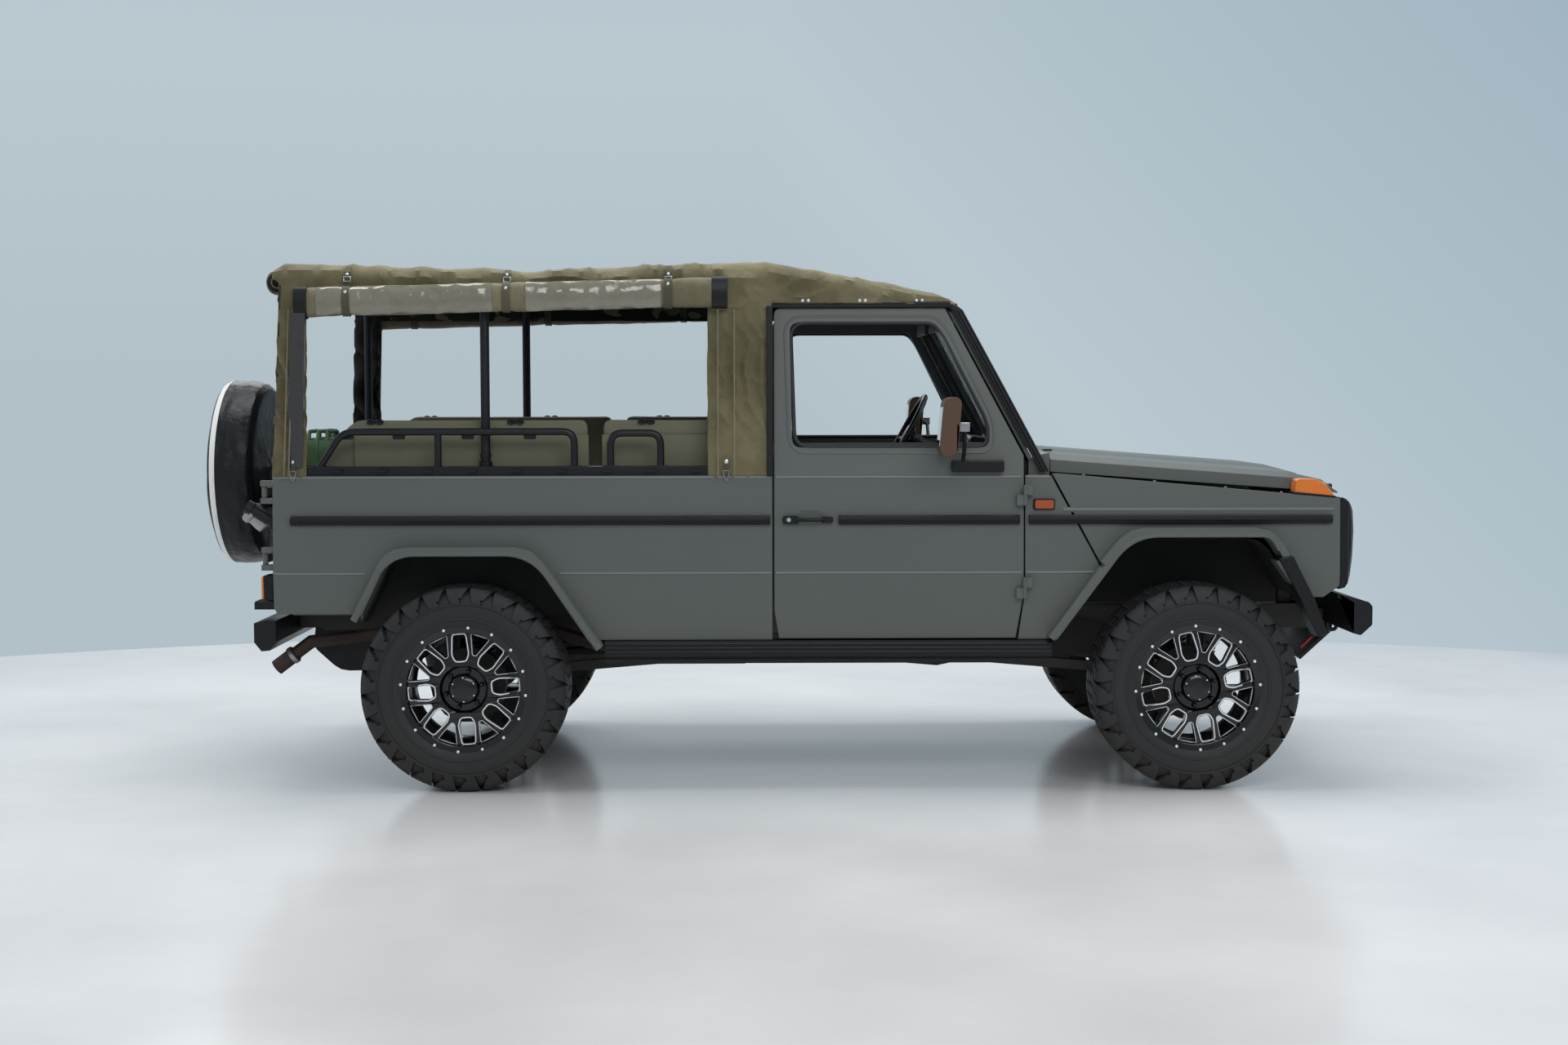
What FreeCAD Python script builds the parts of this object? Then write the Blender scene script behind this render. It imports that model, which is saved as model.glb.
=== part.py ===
import FreeCAD, Part
import math
import os
from FreeCAD import Placement, Rotation, Vector

# An open army 4x4 car with a canvas roof, built up from its ladder frame.
# +X points forward, +Y to the car's left and +Z up; the origin lies on the floor, in the middle of the car.
# Lengths along the car are written as distances ahead of the rear axle, and the function ahead places them.

os.makedirs("parts", exist_ok=True)
doc = FreeCAD.newDocument("field_car")
sheet = doc.addObject("Spreadsheet::Sheet", "sizes")

# Driving dimensions in millimetres: name, value, meaning
SIZES = [
    ("wheelbase", 2850, "rear axle to front axle"),
    ("front_overhang", 690, "front axle to the bumper's face"),
    ("rear_overhang", 1110, "rear axle to the back of the spare wheel's cover"),
    ("track", 1474, "between the middles of the tyres"),
    ("tyre_radius", 401, "wheel centre to the floor"),
    ("tyre_width", 275, "over the sidewalls"),
    ("tread_width", 228, "over the lugs of the tread"),
    ("lug_length", 42, "length of the shoulder lugs, across the tread"),
    ("lug_depth", 13, "depth of the gaps between the shoulder lugs"),
    ("bead_radius", 229, "where the tyre sits on the rim"),
    ("lip_radius", 252, "rim flange"),
    ("lip_width", 16, "thickness of the rim flange"),
    ("rim_width", 250, "over the rim flanges"),
    ("rim_wall", 13, "rim well"),
    ("spoke_depth", 34, "thickness of the spoked disc"),
    ("spoke_recess", 24, "spoked disc's face behind the rim's face"),
    ("hub_pad_radius", 88, "raised middle of the wheel"),
    ("hub_pad_depth", 62, "thickness of the wheel at its middle"),
    ("cap_radius", 70, "centre cap"),
    ("cap_depth", 22, "centre cap's stand-out"),
    ("window_start", 104, "wheel centre to the inner end of the pill windows"),
    ("window_end", 208, "wheel centre to the outer end of the pill windows"),
    ("window_width", 56, "pill window's width at its inner end"),
    ("gap_start", 138, "wheel centre to the point of the triangular windows"),
    ("gap_width", 72, "triangular window's width at its outer end"),
    ("kingpin_offset", 590, "steering axis from the car's middle"),
    ("steering_arm", 200, "kingpin to tie rod"),
    ("tie_rod_height", 335, "tie rod's middle above the floor"),
    ("tie_rod_radius", 14, "tie rod"),
    ("axle_radius", 40, "axle tubes"),
    ("diff_radius", 125, "differential housing"),
    ("brake_radius", 150, "brake discs and drums"),
    ("rail_offset", 345, "frame rail's middle from the car's middle"),
    ("rail_width", 60, "frame rail"),
    ("rail_height", 100, "frame rail"),
    ("rail_bottom", 500, "frame rail's underside between the axles"),
    ("rail_kick", 80, "rise of the rails over the axles"),
    ("rail_rear", 640, "rail's rear end behind the rear axle"),
    ("rail_front", 560, "rail's front end ahead of the front axle"),
    ("spring_radius", 52, "coil springs"),
    ("engine_length", 700, "engine block"),
    ("engine_width", 480, "engine block"),
    ("engine_height", 520, "engine block"),
    ("pipe_radius", 26, "exhaust pipe"),
    ("muffler_radius", 78, "exhaust silencer"),
    ("side_half_width", 800, "body side at the fold, from the car's middle"),
    ("belt_half_width", 785, "body side at the belt, from the car's middle"),
    ("flare_half_width", 850, "wheel arch lips, from the car's middle"),
    ("flare_band", 28, "width of the wheel arch lips seen from the side"),
    ("side_wall", 50, "thickness of the body sides and doors"),
    ("frame_wall", 38, "thickness of the upper door frames"),
    ("skin", 16, "thickness of floors and inner panels"),
    ("belt_height", 1224, "top of the body sides"),
    ("fold_height", 850, "fold along the body side"),
    ("sill_height", 585, "lower edge of the body sides between the wheels"),
    ("tail_height", 690, "lower edge of the body side behind the rear wheel"),
    ("sill_drop", 95, "height of the black sill boards"),
    ("body_rear", 740, "body's rear face behind the rear axle"),
    ("door_rear", 1206, "door's rear edge ahead of the rear axle"),
    ("door_front", 2177, "door's front edge ahead of the rear axle"),
    ("door_top", 1877, "top of the door frame"),
    ("panel_gap", 6, "gaps between the body panels"),
    ("window_sill", 1335, "lower edge of the door window"),
    ("window_head", 1821, "upper edge of the door window"),
    ("arch_height_rear", 953, "top of the rear wheel arch lip"),
    ("arch_height_front", 1023, "top of the front wheel arch lip"),
    ("bed_floor", 700, "upper face of the load floor"),
    ("cab_floor", 620, "upper face of the cab floor"),
    ("mat", 8, "thickness of the rubber mat"),
    ("mat_half_width", 312, "rubber mat's edge from the car's middle"),
    ("wheelhouse_half_width", 565, "inner face of the rear wheelhouses, from the car's middle"),
    ("rake_top", 1880, "top of the windscreen frame"),
    ("screen_base_x", 2242, "foot of the windscreen ahead of the rear axle"),
    ("screen_base_height", 1240, "foot of the windscreen"),
    ("screen_top_x", 1897, "top of the windscreen ahead of the rear axle"),
    ("screen_half_base", 742, "half width of the windscreen frame at its foot"),
    ("screen_half_top", 700, "half width of the windscreen frame at its top"),
    ("screen_depth", 15, "thickness of the windscreen frame"),
    ("screen_border", 62, "width of the windscreen frame's members"),
    ("glass_depth", 6, "windscreen glass"),
    ("bonnet_rear", 2292, "bonnet's rear edge ahead of the rear axle"),
    ("bonnet_front", 3436, "bonnet's nose ahead of the rear axle"),
    ("bonnet_half_width", 695, "bonnet's half width at its lower edge"),
    ("bonnet_wall", 16, "thickness of the bonnet"),
    ("grille_front", 3494, "grille's foremost line ahead of the rear axle"),
    ("fender_front", 3412, "fender's front edge ahead of the rear axle"),
    ("lamp_radius", 92, "headlamps"),
    ("lamp_offset", 560, "headlamp's middle from the car's middle"),
    ("lamp_rise", 222, "headlamp's middle above the front bumper's top"),
    ("bumper_half_width", 800, "half width of the bumpers"),
    ("canvas", 10, "thickness of the canvas roof"),
    ("roof_rise", 184, "top of the canvas roof above the windscreen"),
    ("roof_half_width", 735, "canvas side under the roof edge, from the car's middle"),
    ("tube_radius", 18, "hoop tubes"),
    ("rail_tube_radius", 14, "tube loops on the bed rails"),
    ("hoop_offset", 697.5, "hoop posts from the car's middle"),
    ("hoop_station", 75, "middle hoop ahead of the rear axle"),
    ("bench_over_arch", 167, "top of the bench seats above the rear wheel arches"),
    ("bench_back_height", 324, "top of the bench backs above the seats"),
    ("bench_back_depth", 45, "thickness of the bench backs"),
    ("spare_radius", 390, "spare wheel in its cover"),
    ("spare_depth", 205, "thickness of the covered spare wheel"),
    ("spare_height", 1220, "spare wheel's middle above the floor"),
    ("spare_shift", 80, "spare wheel's middle to the right of the car's middle"),
    ("tail_door_half_width", 638, "half width of the tail door"),
    ("hinge_radius", 9, "hinge barrels"),
    ("steering_wheel_radius", 200, "steering wheel over its rim"),
    ("mirror_standout", 200, "mirror's outer edge beyond the body side"),
    ("mirror_width", 157, "mirror head"),
]

size = {}
for row, (name, value, meaning) in enumerate(SIZES, start=1):
    sheet.set(f"A{row}", meaning)
    sheet.set(f"B{row}", str(value))
    sheet.setAlias(f"B{row}", name)
doc.recompute()
for name, value, meaning in SIZES:
    size[name] = float(sheet.get(name))

rear_axle = (size["rear_overhang"] - size["wheelbase"] - size["front_overhang"]) / 2
front_axle = rear_axle + size["wheelbase"]
nose = front_axle + size["front_overhang"]
tail = rear_axle - size["rear_overhang"]
wheel_offset = size["track"] / 2
hub_height = size["tyre_radius"]
roof_top = size["rake_top"] + size["roof_rise"]
rail_top = size["rail_bottom"] + size["rail_kick"] + size["rail_height"]
made = []

# Clearances and places that several pieces share
SEAT = 0.3
FORK_GAP = 0.4
KNUCKLE_HALF = 95
ARM_LUG = 68
MEMBER_LIFT = 15
BUMPER_DEPTH = 72
BUMPER_LOW = 606
CAB_FRONT = 2288
RAIL_RISE = 38
BENCH_BACK = 666
BENCHES = [(-486, 476), (530, 1085)]
HINGE_AHEAD = 4
HINGE_OFFSET = 812
DOOR_HINGES = [(746, 829), (1110, 1189)]
TAIL_HINGES = [905, 1165]
TAIL_HINGE_BACK = 36
TAIL_HINGE_OFFSET = 765
TAIL_GAP = 8
DOOR_GAP = 8
TIE_END = 10
WHEEL_FACETS = 32
BUMPER_TOP = 763
SCREEN_FOOT = 57.6
PIPE_UP = 540
BACK_REAR = -570
BACK_SLOPE = 128
CORNER_FLAT = 0.55
JAMB_GAP = 5
JAMB_SHEET = 6

lamp_height = BUMPER_TOP + size["lamp_rise"]


def ahead(distance):
    """the X of a point that lies this far ahead of the rear axle"""
    return rear_axle + distance


def bind(item, prop, value):
    """sets a size of an object, bound to the sheet where the value is the name of a cell"""
    if isinstance(value, str):
        item.setExpression(prop, value)
    else:
        setattr(item, prop, value)


def cell(name):
    return "sizes." + name


def keep(item, label):
    """names a finished sub-part"""
    item.Label = label
    made.append(item)
    return item


def outline(points):
    """closed outline of straight runs; a third number rounds that corner to its radius with short flats"""
    corners = [Vector(point[0], point[1], 0) for point in points]
    count = len(corners)
    spots = []
    for index, corner in enumerate(corners):
        radius = points[index][2] if len(points[index]) > 2 else 0
        if not radius:
            spots.append(corner)
            continue
        back = (corners[index - 1] - corner).normalize()
        onward = (corners[(index + 1) % count] - corner).normalize()
        half = back.getAngle(onward) / 2
        start = corner + back * (radius / math.tan(half))
        centre = corner + (back + onward).normalize() * (radius / math.sin(half))
        bend = math.copysign(math.pi - 2 * half, onward.cross(back).z)
        flats = max(1, math.ceil(abs(bend) / CORNER_FLAT))
        for step in range(flats + 1):
            spots.append(centre + Rotation(Vector(0, 0, 1), math.degrees(bend * step / flats)) * (start - centre))
    return [Part.LineSegment(spot, spots[(index + 1) % len(spots)]) for index, spot in enumerate(spots)]


def band(points, width):
    """closed outline of a strip that lies to the left of a line of points"""
    left = []
    for index, point in enumerate(points):
        here = Vector(point[0], point[1], 0)
        before = Vector(points[index - 1][0], points[index - 1][1], 0) if index else None
        after = None
        if index + 1 < len(points):
            after = Vector(points[index + 1][0], points[index + 1][1], 0)
        ways = []
        if before:
            ways.append((here - before).normalize())
        if after:
            ways.append((after - here).normalize())
        sides = [Vector(-way.y, way.x, 0) for way in ways]
        total = sides[0] + sides[-1]
        total.normalize()
        left.append(here + total * (width / total.dot(sides[0])))
    radii = [point[2] if len(point) > 2 else 0 for point in points]
    near = [tuple(point) for point in points]
    far = []
    for spot, radius in zip(reversed(left), reversed(radii)):
        far.append((spot.x, spot.y, radius + width) if radius else (spot.x, spot.y))
    return near + far


PLANES = {
    "side": ("XZ_Plane", Rotation(Vector(1, 0, 0), 90)),
    "plan": ("XY_Plane", Rotation()),
    "cross": ("YZ_Plane", Rotation(Vector(1, 1, 1), 120)),
}


def plate(name, plane, points, start, depth, holes=()):
    """a flat piece: its outline in side view, plan or cross-section, pushed out by its depth.

    A side view is pushed towards -Y from y = -start, a plan towards +Z and a cross-section towards +X."""
    sketch = doc.addObject("Sketcher::SketchObject", name + "_outline")
    normal = {"side": Vector(0, -1, 0), "plan": Vector(0, 0, 1), "cross": Vector(1, 0, 0)}[plane]
    sketch.Placement = Placement(normal * start, PLANES[plane][1])
    sketch.addGeometry(outline(points), False)
    for hole in holes:
        sketch.addGeometry(outline(hole), False)
    solid = doc.addObject("Part::Extrusion", name)
    solid.Base = sketch
    solid.DirMode = "Normal"
    solid.Solid = True
    bind(solid, "LengthFwd", depth)
    return solid


def block(name, low, high):
    """a plain block between two opposite corners"""
    solid = doc.addObject("Part::Box", name)
    solid.Length = high[0] - low[0]
    solid.Width = high[1] - low[1]
    solid.Height = high[2] - low[2]
    solid.Placement = Placement(Vector(*low), Rotation())
    return solid


def rod(name, start, end, radius, sides=12):
    """a bar between two points, its round section drawn with a few flats"""
    start = Vector(*start)
    way = Vector(*end) - start
    solid = doc.addObject("Part::Prism", name)
    solid.Polygon = sides
    bind(solid, "Circumradius", radius)
    solid.Height = way.Length
    solid.Placement = Placement(start, Rotation(Vector(0, 0, 1), way))
    return solid


def tube(name, points, radius, sides=6):
    """a tube with mitred corners along a line of points, its section drawn with a few flats"""
    spine = doc.addObject("Part::Polygon", name + "_line")
    spine.Nodes = [Vector(*point) for point in points]
    ring = doc.addObject("Part::RegularPolygon", name + "_ring")
    ring.Polygon = sides
    bind(ring, "Circumradius", radius)
    way = Vector(*points[1]) - Vector(*points[0])
    ring.Placement = Placement(Vector(*points[0]), Rotation(Vector(0, 0, 1), way))
    doc.recompute()
    sweep = doc.addObject("Part::Sweep", name)
    sweep.Sections = [ring]
    sweep.Spine = (spine, [f"Edge{index + 1}" for index in range(len(points) - 1)])
    sweep.Solid = True
    sweep.Frenet = False
    sweep.Transition = "Right corner"
    return sweep


def fuse(name, pieces):
    solid = doc.addObject("Part::MultiFuse", name)
    solid.Shapes = pieces
    return solid


def cut(name, base, tool):
    solid = doc.addObject("Part::Cut", name)
    solid.Base = base
    solid.Tool = tool
    return solid


def common(name, base, tool):
    solid = doc.addObject("Part::Common", name)
    solid.Base = base
    solid.Tool = tool
    return solid


def group(name, pieces):
    """like pieces of one node that don't touch"""
    items = doc.addObject("Part::Compound", name)
    items.Links = pieces
    return items


def mirrored(name, source):
    """the same piece on the car's other side"""
    other = doc.addObject("Part::Mirroring", name)
    other.Source = source
    other.Base = Vector(0, 0, 0)
    other.Normal = Vector(0, 1, 0)
    return other


def faceted_ring(profile, facets, axis_point):
    """a ring of flat facets about an axis along Y; the profile is a closed list of (y, radius)"""
    loops = []
    for along, radius in profile:
        rim = radius / math.cos(math.pi / facets)
        spots = []
        for step in range(facets):
            turn = 2 * math.pi * (step + 0.5) / facets
            spots.append(axis_point + Vector(rim * math.sin(turn), along, -rim * math.cos(turn)))
        loops.append(spots)
    rings = []
    for index, loop in enumerate(loops):
        rings += strip(loop, loops[(index + 1) % len(loops)])
    return solid_of(rings)


def solid_of(rings):
    """a closed solid from the corner points of its flat faces"""
    faces = [Part.Face(Part.makePolygon(ring + [ring[0]])) for ring in rings]
    solid = Part.Solid(Part.makeShell(faces))
    if solid.Volume < 0:
        solid.reverse()
    return solid


def strip(loop, other, split=False):
    """the faces between two loops of as many points, as pairs of triangles where they would be twisted"""
    rings = []
    for step in range(len(loop)):
        turn = (step + 1) % len(loop)
        if split:
            rings += [[loop[step], loop[turn], other[turn]], [loop[step], other[turn], other[step]]]
        else:
            rings.append([loop[step], loop[turn], other[turn], other[step]])
    return rings


def shell_of(loops, split=False):
    """a closed solid over a row of loops, with a flat face at each end"""
    rings = [loops[0], loops[-1]]
    for loop, other in zip(loops, loops[1:]):
        rings += strip(loop, other, split)
    return solid_of(rings)


def faceted_pin(radius, facets, start, end, centre):
    """a short bar of flat facets about an axis along Y"""
    loops = []
    for along in (start, end):
        spots = []
        for step in range(facets):
            turn = 2 * math.pi * (step + 0.5) / facets
            spots.append(Vector(centre.x + radius * math.sin(turn), along, centre.z - radius * math.cos(turn)))
        loops.append(spots)
    return shell_of(loops)


# Wheels: the outer side of each wheel points away from the car
def tread_loop(centre, along, radius, depth, first):
    """points round the tyre's shoulder: two on a lug, then two in the gap that lies deeper, and so on"""
    flats = 2 * WHEEL_FACETS
    spots = []
    for step in range(flats):
        turn = 2 * math.pi * (step + 0.5) / flats
        reach = radius / math.cos(math.pi / flats) - (depth if (step + first) % 4 > 1 else 0)
        spots.append(centre + Vector(reach * math.sin(turn), along, -reach * math.cos(turn)))
    return spots


def wall_loop(centre, along, radius):
    """points round the tyre's side wall, one for two of the tread's"""
    reach = radius / math.cos(math.pi / WHEEL_FACETS)
    spots = []
    for step in range(WHEEL_FACETS):
        turn = 2 * math.pi * (step + 0.5) / WHEEL_FACETS
        spots.append(centre + Vector(reach * math.sin(turn), along, -reach * math.cos(turn)))
    return spots


def shoulder_faces(wall, edge, crown):
    """faces from the side wall over the tread's edge to its crown, one shoulder lug after the other"""
    rings = []
    count = len(wall)
    for step in range(count):
        corner = wall[step]
        spots = [edge[(2 * step + shift) % len(edge)] for shift in range(3)]
        rings.append([corner, spots[0], spots[1]])
        rings.append([corner, spots[1], spots[2]])
        rings.append([corner, spots[2], wall[(step + 1) % count]])
    for step in range(len(edge)):
        turn = (step + 1) % len(edge)
        ring = [edge[step], edge[turn], crown[turn], crown[step]]
        if step % 2 == 0:
            rings.append(ring)
        else:
            rings += [ring[:3], [ring[0], ring[2], ring[3]]]
    return rings


def tyre_shape(side, station):
    """tyre with its bead on the rim, and shoulder lugs that alternate between the two sides of the tread"""
    half = size["tyre_width"] / 2
    tread = size["tread_width"] / 2
    radius = size["tyre_radius"]
    centre = Vector(station, side * wheel_offset, hub_height)
    wall = [
        (size["rim_width"] / 2 - size["lip_width"] - SEAT, size["bead_radius"] + SEAT),
        (size["rim_width"] / 2 + SEAT, size["lip_radius"] + 14),
        (half, size["lip_radius"] + 55),
        (half - 4, radius - 42),
    ]
    rings = []
    crowns = []
    beads = []
    for way, first in ((-1, 0), (1, 2)):
        loops = [wall_loop(centre, way * along, distance) for along, distance in wall]
        for loop, other in zip(loops, loops[1:]):
            rings += strip(loop, other)
        edge = tread_loop(centre, way * tread, radius, size["lug_depth"], first)
        crown = tread_loop(centre, way * (tread - size["lug_length"]), radius, 0, first)
        rings += shoulder_faces(loops[-1], edge, crown)
        beads.append(loops[0])
        crowns.append(crown)
    rings += strip(*beads) + strip(*crowns)
    return solid_of(rings)


def spoke_window(angle, profile):
    """corner points of one window of the spoked disc, turned to its angle"""
    turn = math.radians(angle)
    spots = []
    for across, out in profile:
        x = out * math.sin(turn) + across * math.cos(turn)
        z = out * math.cos(turn) - across * math.sin(turn)
        spots.append(Vector(x, 0, z))
    return Part.makePolygon(spots + [spots[0]])


def rim_shape(side, station):
    """wheel rim: well with two flanges, spoked disc with eight pill windows and eight triangular ones"""
    half = size["rim_width"] / 2
    lip = size["lip_radius"]
    bead = size["bead_radius"]
    well = bead - size["rim_wall"]
    profile = [
        (half, well),
        (half, lip),
        (half - size["lip_width"], bead),
        (size["lip_width"] - half, bead),
        (-half, lip),
        (-half, well),
    ]
    centre = Vector(station, side * wheel_offset, hub_height)
    barrel = faceted_ring(profile, WHEEL_FACETS, centre)
    wide = size["window_width"] / 2
    first = size["window_start"]
    last = size["window_end"]
    pill = [
        (0, first),
        (wide, first + wide * 0.7),
        (wide * 0.75, last - wide * 0.6),
        (0, last),
        (-wide * 0.75, last - wide * 0.6),
        (-wide, first + wide * 0.7),
    ]
    reach = size["gap_width"] / 2
    gap = [(0, size["gap_start"]), (reach, last - 4), (-reach, last - 4)]
    edge = (well + 1) / math.cos(math.pi / WHEEL_FACETS)
    corners = []
    for step in range(WHEEL_FACETS):
        turn = 2 * math.pi * (step + 0.5) / WHEEL_FACETS
        corners.append(Vector(edge * math.sin(turn), 0, -edge * math.cos(turn)))
    wires = [Part.makePolygon(corners + [corners[0]])]
    for step in range(8):
        wires.append(spoke_window(45 * step, pill))
        wires.append(spoke_window(45 * step + 22.5, gap))
    face = Part.makeFace(wires, "Part::FaceMakerBullseye")
    outer = half - size["spoke_recess"]
    disc = face.extrude(Vector(0, side * size["spoke_depth"], 0))
    disc.translate(centre + Vector(0, side * (outer - size["spoke_depth"]), 0))
    pad = faceted_pin(size["hub_pad_radius"], 12, centre.y + side * (outer + 4 - size["hub_pad_depth"]),
                      centre.y + side * (outer + 4), centre)
    cap = faceted_pin(size["cap_radius"], 12, centre.y + side * outer, centre.y + side * (outer + size["cap_depth"]),
                      centre)
    return barrel.fuse([disc, pad, cap]).removeSplitter()


def wheels():
    corners = [
        ("front_right", -1, front_axle),
        ("front_left", 1, front_axle),
        ("rear_right", -1, rear_axle),
        ("rear_left", 1, rear_axle),
    ]
    for corner, side, station in corners:
        rim = doc.addObject("Part::Feature", "rim_" + corner)
        rim.Shape = rim_shape(side, station)
        keep(rim, "rim_" + corner)
        tyre = doc.addObject("Part::Feature", "tyre_" + corner)
        tyre.Shape = tyre_shape(side, station)
        keep(tyre, "tyre_" + corner)


# The wheel's middle seats on the hub this far from the car's middle
hub_seat = wheel_offset + size["rim_width"] / 2 - size["spoke_recess"] + 4 - size["hub_pad_depth"] - SEAT


def axles():
    """solid axles: tube, differential, spring seats and, in front, the forks that hold the knuckles"""
    kingpin = size["kingpin_offset"]
    tube_end = kingpin - 50
    pad = size["spring_radius"] + 8
    seat = hub_height + size["axle_radius"] + 4
    front = [
        rod("front_tube", (front_axle, -tube_end, hub_height), (front_axle, tube_end, hub_height), cell("axle_radius"), 8),
        rod("front_diff", (front_axle, -85, hub_height), (front_axle, 85, hub_height), cell("diff_radius"), 10),
    ]
    for side in (-1, 1):
        inner = side * (tube_end - 20)
        outer = side * tube_end
        low = min(inner, outer)
        high = max(inner, outer)
        top = hub_height + KNUCKLE_HALF + FORK_GAP
        front.append(block("fork_back", (front_axle - 38, low, 2 * hub_height - top - 18),
                           (front_axle + 38, high, top + 18)))
        reach = side * (kingpin + 25)
        low = min(inner, reach)
        high = max(inner, reach)
        front.append(block("fork_top", (front_axle - 28, low, top), (front_axle + 28, high, top + 18)))
        front.append(block("fork_foot", (front_axle - 28, low, 2 * hub_height - top - 18),
                           (front_axle + 28, high, 2 * hub_height - top)))
    rear = [
        rod("rear_tube", (rear_axle, -hub_seat, hub_height), (rear_axle, hub_seat, hub_height), cell("axle_radius"), 8),
        rod("rear_diff", (rear_axle, -90, hub_height), (rear_axle, 90, hub_height), cell("diff_radius"), 10),
    ]
    for side in (-1, 1):
        rear.append(rod("drum", (rear_axle, side * 660, hub_height), (rear_axle, side * 720, hub_height),
                        cell("brake_radius"), 14))
        y = side * size["rail_offset"]
        for pieces, x, way in ((front, front_axle, -1), (rear, rear_axle, 1)):
            pieces.append(block("spring_seat", (x - pad, y - pad, seat - 24), (x + pad, y + pad, seat)))
            inner = x + way * ARM_LUG
            pieces.append(block("arm_lug", (min(x, inner), y - 24, hub_height - 30),
                                (max(x, inner), y + 24, hub_height + 25)))
    keep(fuse("front_axle_solid", front), "front_axle")
    keep(fuse("rear_axle_solid", rear), "rear_axle")


def knuckles():
    """steering knuckles with spindle, brake disc and the arm that the tie rod joins"""
    pieces = []
    y = -size["kingpin_offset"]
    pieces.append(rod("knuckle_boss", (front_axle, y, hub_height - KNUCKLE_HALF),
                      (front_axle, y, hub_height + KNUCKLE_HALF), 44, 10))
    pieces.append(rod("spindle", (front_axle, y, hub_height), (front_axle, -hub_seat, hub_height), 42, 10))
    pieces.append(rod("brake_disc", (front_axle, -665, hub_height), (front_axle, -690, hub_height),
                      cell("brake_radius"), 14))
    arm_top = size["tie_rod_height"] + size["tie_rod_radius"] + 4
    pieces.append(block("steering_arm_bar", (front_axle, y - 15, arm_top),
                        (front_axle + size["steering_arm"] + 18, y + 15, arm_top + 22)))
    right = keep(fuse("knuckle_right_solid", pieces), "knuckle_right")
    keep(mirrored("knuckle_left_solid", right), "knuckle_left")


def tie_rod():
    """the rod between the two steering arms, with a ball pin standing up at each end"""
    x = front_axle + size["steering_arm"]
    z = size["tie_rod_height"]
    y = size["kingpin_offset"]
    bar = rod("tie_bar", (x, -y - TIE_END, z), (x, y + TIE_END, z), cell("tie_rod_radius"), 8)
    lift = z + size["tie_rod_radius"] + 4 - SEAT
    pins = [rod("ball_pin", (x, side * y, z), (x, side * y, lift), 9, 8) for side in (-1, 1)]
    keep(fuse("tie_rod_solid", [bar] + pins), "tie_rod")


def rail_line(lift):
    """the rail's course in side view, raised by lift"""
    low = size["rail_bottom"] + lift
    high = low + size["rail_kick"]
    return [
        (rear_axle - size["rail_rear"], high),
        (rear_axle + 300, high),
        (rear_axle + 480, low),
        (front_axle - 540, low),
        (front_axle - 360, high),
        (front_axle + size["rail_front"], high),
    ]


def ladder_frame():
    """two rails that rise over the axles, with their cross members and the brackets of the bumpers"""
    course = rail_line(0) + list(reversed(rail_line(size["rail_height"])))
    inner = size["rail_offset"] - size["rail_width"] / 2
    rail = plate("rail_right", "side", course, inner, cell("rail_width"))
    pieces = [rail, mirrored("rail_left", rail)]
    low = size["rail_bottom"]
    high = low + size["rail_kick"]
    stations = [
        (rear_axle - size["rail_rear"], high),
        (rear_axle + 190, high),
        (rear_axle + 1350, low),
        (front_axle + size["rail_front"] - 60, high),
    ]
    for x, z in stations:
        pieces.append(block("cross_member", (x, -inner, z + MEMBER_LIFT),
                            (x + 60, inner, z + size["rail_height"] - MEMBER_LIFT)))
    for side in (-1, 1):
        y = side * size["rail_offset"]
        pieces.append(block("bumper_foot", (front_axle + size["rail_front"] - 10, y - 25, BUMPER_LOW + 8),
                            (nose - BUMPER_DEPTH - SEAT, y + 25, BUMPER_LOW + 52)))
        pieces.append(block("rear_bumper_foot", (rear_axle - size["body_rear"] + 4 + SEAT, y - 25, high + 10),
                            (rear_axle - size["rail_rear"] + 10, y + 25, high + 80)))
    keep(fuse("ladder_frame_solid", pieces), "ladder_frame")


def suspension():
    """coil springs on the axles, and the arms that run from the axles to the rails"""
    pieces = []
    top = size["rail_bottom"] + size["rail_kick"] - SEAT
    seat = hub_height + size["axle_radius"] + 4 + SEAT
    hanger = size["rail_bottom"] - SEAT
    for x, way in ((rear_axle, 1), (front_axle, -1)):
        arm = plate("arm", "side", [
            (x + way * (ARM_LUG + SEAT), hub_height - 20),
            (x + way * (ARM_LUG + SEAT), hub_height + 18),
            (x + way * 735, hanger - 24),
            (x + way * 735, hanger),
            (x + way * 790, hanger),
            (x + way * 790, hanger - 58),
            (x + way * 760, hanger - 62),
        ], size["rail_offset"] - 20, 40)
        coil = rod("coil", (x, -size["rail_offset"], seat), (x, -size["rail_offset"], top), cell("spring_radius"))
        pieces += [arm, coil, mirrored("left_" + arm.Name, arm), mirrored("left_" + coil.Name, coil)]
    keep(group("suspension_group", pieces), "suspension")


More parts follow.
